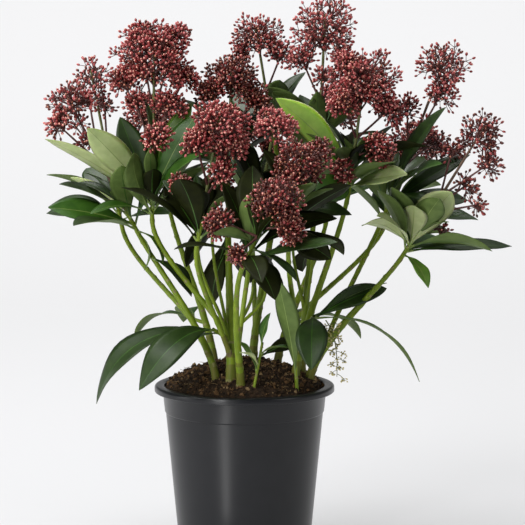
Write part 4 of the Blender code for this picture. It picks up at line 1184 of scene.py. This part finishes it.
        # Pale tips: partly the petals' paler edges, partly a painted highlight; duller on the deepest buds.
        paler = np.array([rng.random() < PALER_TIPS for _ in tints])
        tips = np.where(paler, np.where(tints == 0, DULL_TIP_SLOT, TIP_SLOT), tints)
        rings = np.stack([tints, tints, tints, tips], axis=1)
        self.buds.add(*tubes(paths, radii, BUD_SIDES), np.repeat(rings, BUD_SIDES, axis=1).ravel())

    def build(self):
        name = self.shoot.name
        first, *others = self.shoot.domes
        axis = crown_heading(self.shoot)
        start = point(self.shoot.whorl) + axis * (LEAFY_LENGTH * MM - 1 * MM)
        main = stalk_controls(start, axis, first)
        self.stalk(main, STALK_RADIUS, 1.1, BROWN_STALK if self.shoot.dark_stalk else GREEN_STALK)
        self.dome(first, main)
        lowest, highest = SIDE_STALK_REACH
        for dome in others:
            drop = (dome.centre - start).dot(axis) / max((main[-1] - start).length, 1e-6)
            root = along(main, min(highest, max(lowest, drop * SIDE_STALK_RISE)))
            side = stalk_controls(root, (dome.centre - root).normalized(), dome)
            self.stalk(side, SIDE_STALK_RADIUS, 0.9, RED_STALK, 9, 6)
            self.dome(dome, side)
            if (dome.centre - main[-1]).length < NEAR_DOME * MM:
                self.between(first, dome, side)
        self.twigs.piece(f"sprays_{name}", STALKS, "flower_buds", [f"flowers_{name}"])
        self.buds.piece(f"buds_{name}", BUDS, "flower_buds", [f"flowers_{name}"])


def build_plant():
    stems = {}
    for shoot in SHOOTS:
        stems[shoot.name] = Stem(shoot, stems)
        build_stem(stems[shoot.name])
    for shoot in SHOOTS:
        axis = crown_heading(shoot)
        foot = point(shoot.whorl) + axis * (JOINT_GAP * MM)
        top = foot + axis * (LEAFY_LENGTH * MM)
        blades = whorl_blades(shoot, foot, axis) + young_blades(shoot, foot, axis)
        build_leaves(shoot, foot, top, LEAFY_RADIUS, blades)
        Head(shoot).build()
    for spray in LOW_SPRAYS:
        build_leaves(spray, root_of(spray, stems), point(spray.whorl), spray.radius)


# The studio. Places and sizes in metres.

SWEEP_START = -0.8
SWEEP_END = 2.0
SWEEP_CURVE = 1.2
SWEEP_HALF_WIDTH = 6.0
GLOW_FROM = (0.2, 2.9)
GLOW_TO = (0.44, 0.64)
CARD = ((-0.075, -0.17, 0.001), (-0.42, -0.79, 0.001))
CARD_ACROSS = (0.87, -0.48, 0)
CARD_HALF_WIDTHS = (0.014, 0.06)
CARD_GLOW = 4.4
SKY = (0.98, 0.99, 1.0, 1)
SKY_STRENGTH = 0.17
CAMERA_PLACE = (0.019, -2.0, 0.51)
CAMERA_PITCH = -5.8
CAMERA_LENS = 131.2

# Each softbox: its place, what it faces, its width, its height and its power in watts.
SOFTBOXES = {
    "key_light": ((-1.6, -1.2, 2.0), (0, 0, 0.38), 1.3, 1.3, 46),
    "fill_light": ((1.9, -1.2, 1.2), (0, 0, 0.38), 1.0, 1.6, 9),
    "top_light": ((-0.3, 0.5, 2.4), (0, 0, 0.38), 1.8, 1.4, 44),
    "strip_light": ((-0.72, -1.3, 0.45), (0, 0, 0.1), 0.16, 0.96, 9),
    "side_light": ((-1.9, -0.3, 0.6), (0, 0, 0.2), 0.5, 1.4, 9),
    "wall_light": ((0, 1.4, 3.2), (0, 3.2, 1.0), 5.0, 1.2, 30),
}


def sheet(name, places, faces, material):
    mesh = bpy.data.meshes.new(name)
    mesh.from_pydata(places, [], faces)
    mesh.shade_smooth()
    mesh.materials.append(material)
    add_object(name, mesh)


def build_sweep():
    """A white sweep of paper: floor in front, then a wide curve just high enough to fill the picture. Its
    glow grows from front to back, as under a light of its own. From behind, the plant shows over it."""
    paper, tree, shader = new_material("sweep_paper")
    place = add_node(tree, "TexCoord", {}).outputs["Object"]
    depth = add_node(tree, "SeparateXYZ", {"Vector": place}).outputs["Y"]
    glow = add_node(tree, "MapRange", {"Value": depth, "From Min": GLOW_FROM[0], "From Max": GLOW_FROM[1],
                                       "To Min": GLOW_TO[0], "To Max": GLOW_TO[1]})
    feed(tree, shader, {"Base Color": (0.3, 0.3, 0.31, 1), "Roughness": 0.9, "Emission Color": (1, 1, 1, 1),
                        "Emission Strength": glow.outputs["Result"]})
    profile = [(SWEEP_START, 0.0), (SWEEP_END, 0.0)]
    for degrees in range(6, 67, 6):
        turn = math.radians(degrees)
        profile.append((SWEEP_END + SWEEP_CURVE * math.sin(turn), SWEEP_CURVE * (1 - math.cos(turn))))
    places = [(x, y, z) for y, z in profile for x in (-SWEEP_HALF_WIDTH, SWEEP_HALF_WIDTH)]
    faces = [(2 * i, 2 * i + 1, 2 * i + 3, 2 * i + 2) for i in range(len(profile) - 1)]
    sheet("sweep", places, faces, paper)


def build_reflector():
    """A bright card on the floor before the pot, that shows only as the upright highlight in its plastic."""
    material, tree, shader = new_material("reflector_card")
    feed(tree, shader, {"Base Color": (0.8, 0.8, 0.8, 1), "Roughness": 0.9, "Emission Color": (1, 1, 1, 1),
                        "Emission Strength": CARD_GLOW})
    near, far = (Vector(place) for place in CARD)
    near_half, far_half = (Vector(CARD_ACROSS) * half for half in CARD_HALF_WIDTHS)
    corners = [near - near_half, near + near_half, far + far_half, far - far_half]
    sheet("reflector", corners, [(0, 1, 2, 3)], material)


def build_lights():
    for name, (place, target, wide, tall, power) in SOFTBOXES.items():
        light = bpy.data.lights.new(name, "AREA")
        light.shape = "RECTANGLE"
        light.size, light.size_y = wide, tall
        light.energy = power
        thing = add_object(name, light)
        thing.location = place
        thing.rotation_euler = (Vector(target) - Vector(place)).to_track_quat("-Z", "Y").to_euler()
    world = bpy.data.worlds.new("studio")
    world.use_nodes = True
    feed(world.node_tree, world.node_tree.nodes["Background"], {"Color": SKY, "Strength": SKY_STRENGTH})
    bpy.context.scene.world = world
    bpy.context.scene.view_settings.view_transform = "Standard"


def build_camera():
    camera = bpy.data.cameras.new("camera")
    camera.sensor_width = 36
    camera.lens = CAMERA_LENS
    camera.clip_start = 0.05
    thing = add_object("camera", camera)
    thing.location = CAMERA_PLACE
    thing.rotation_euler = (math.radians(90 + CAMERA_PITCH), 0, 0)
    bpy.context.scene.camera = thing


build_pot()
build_compost()
build_plant()
build_sweep()
build_reflector()
build_lights()
build_camera()
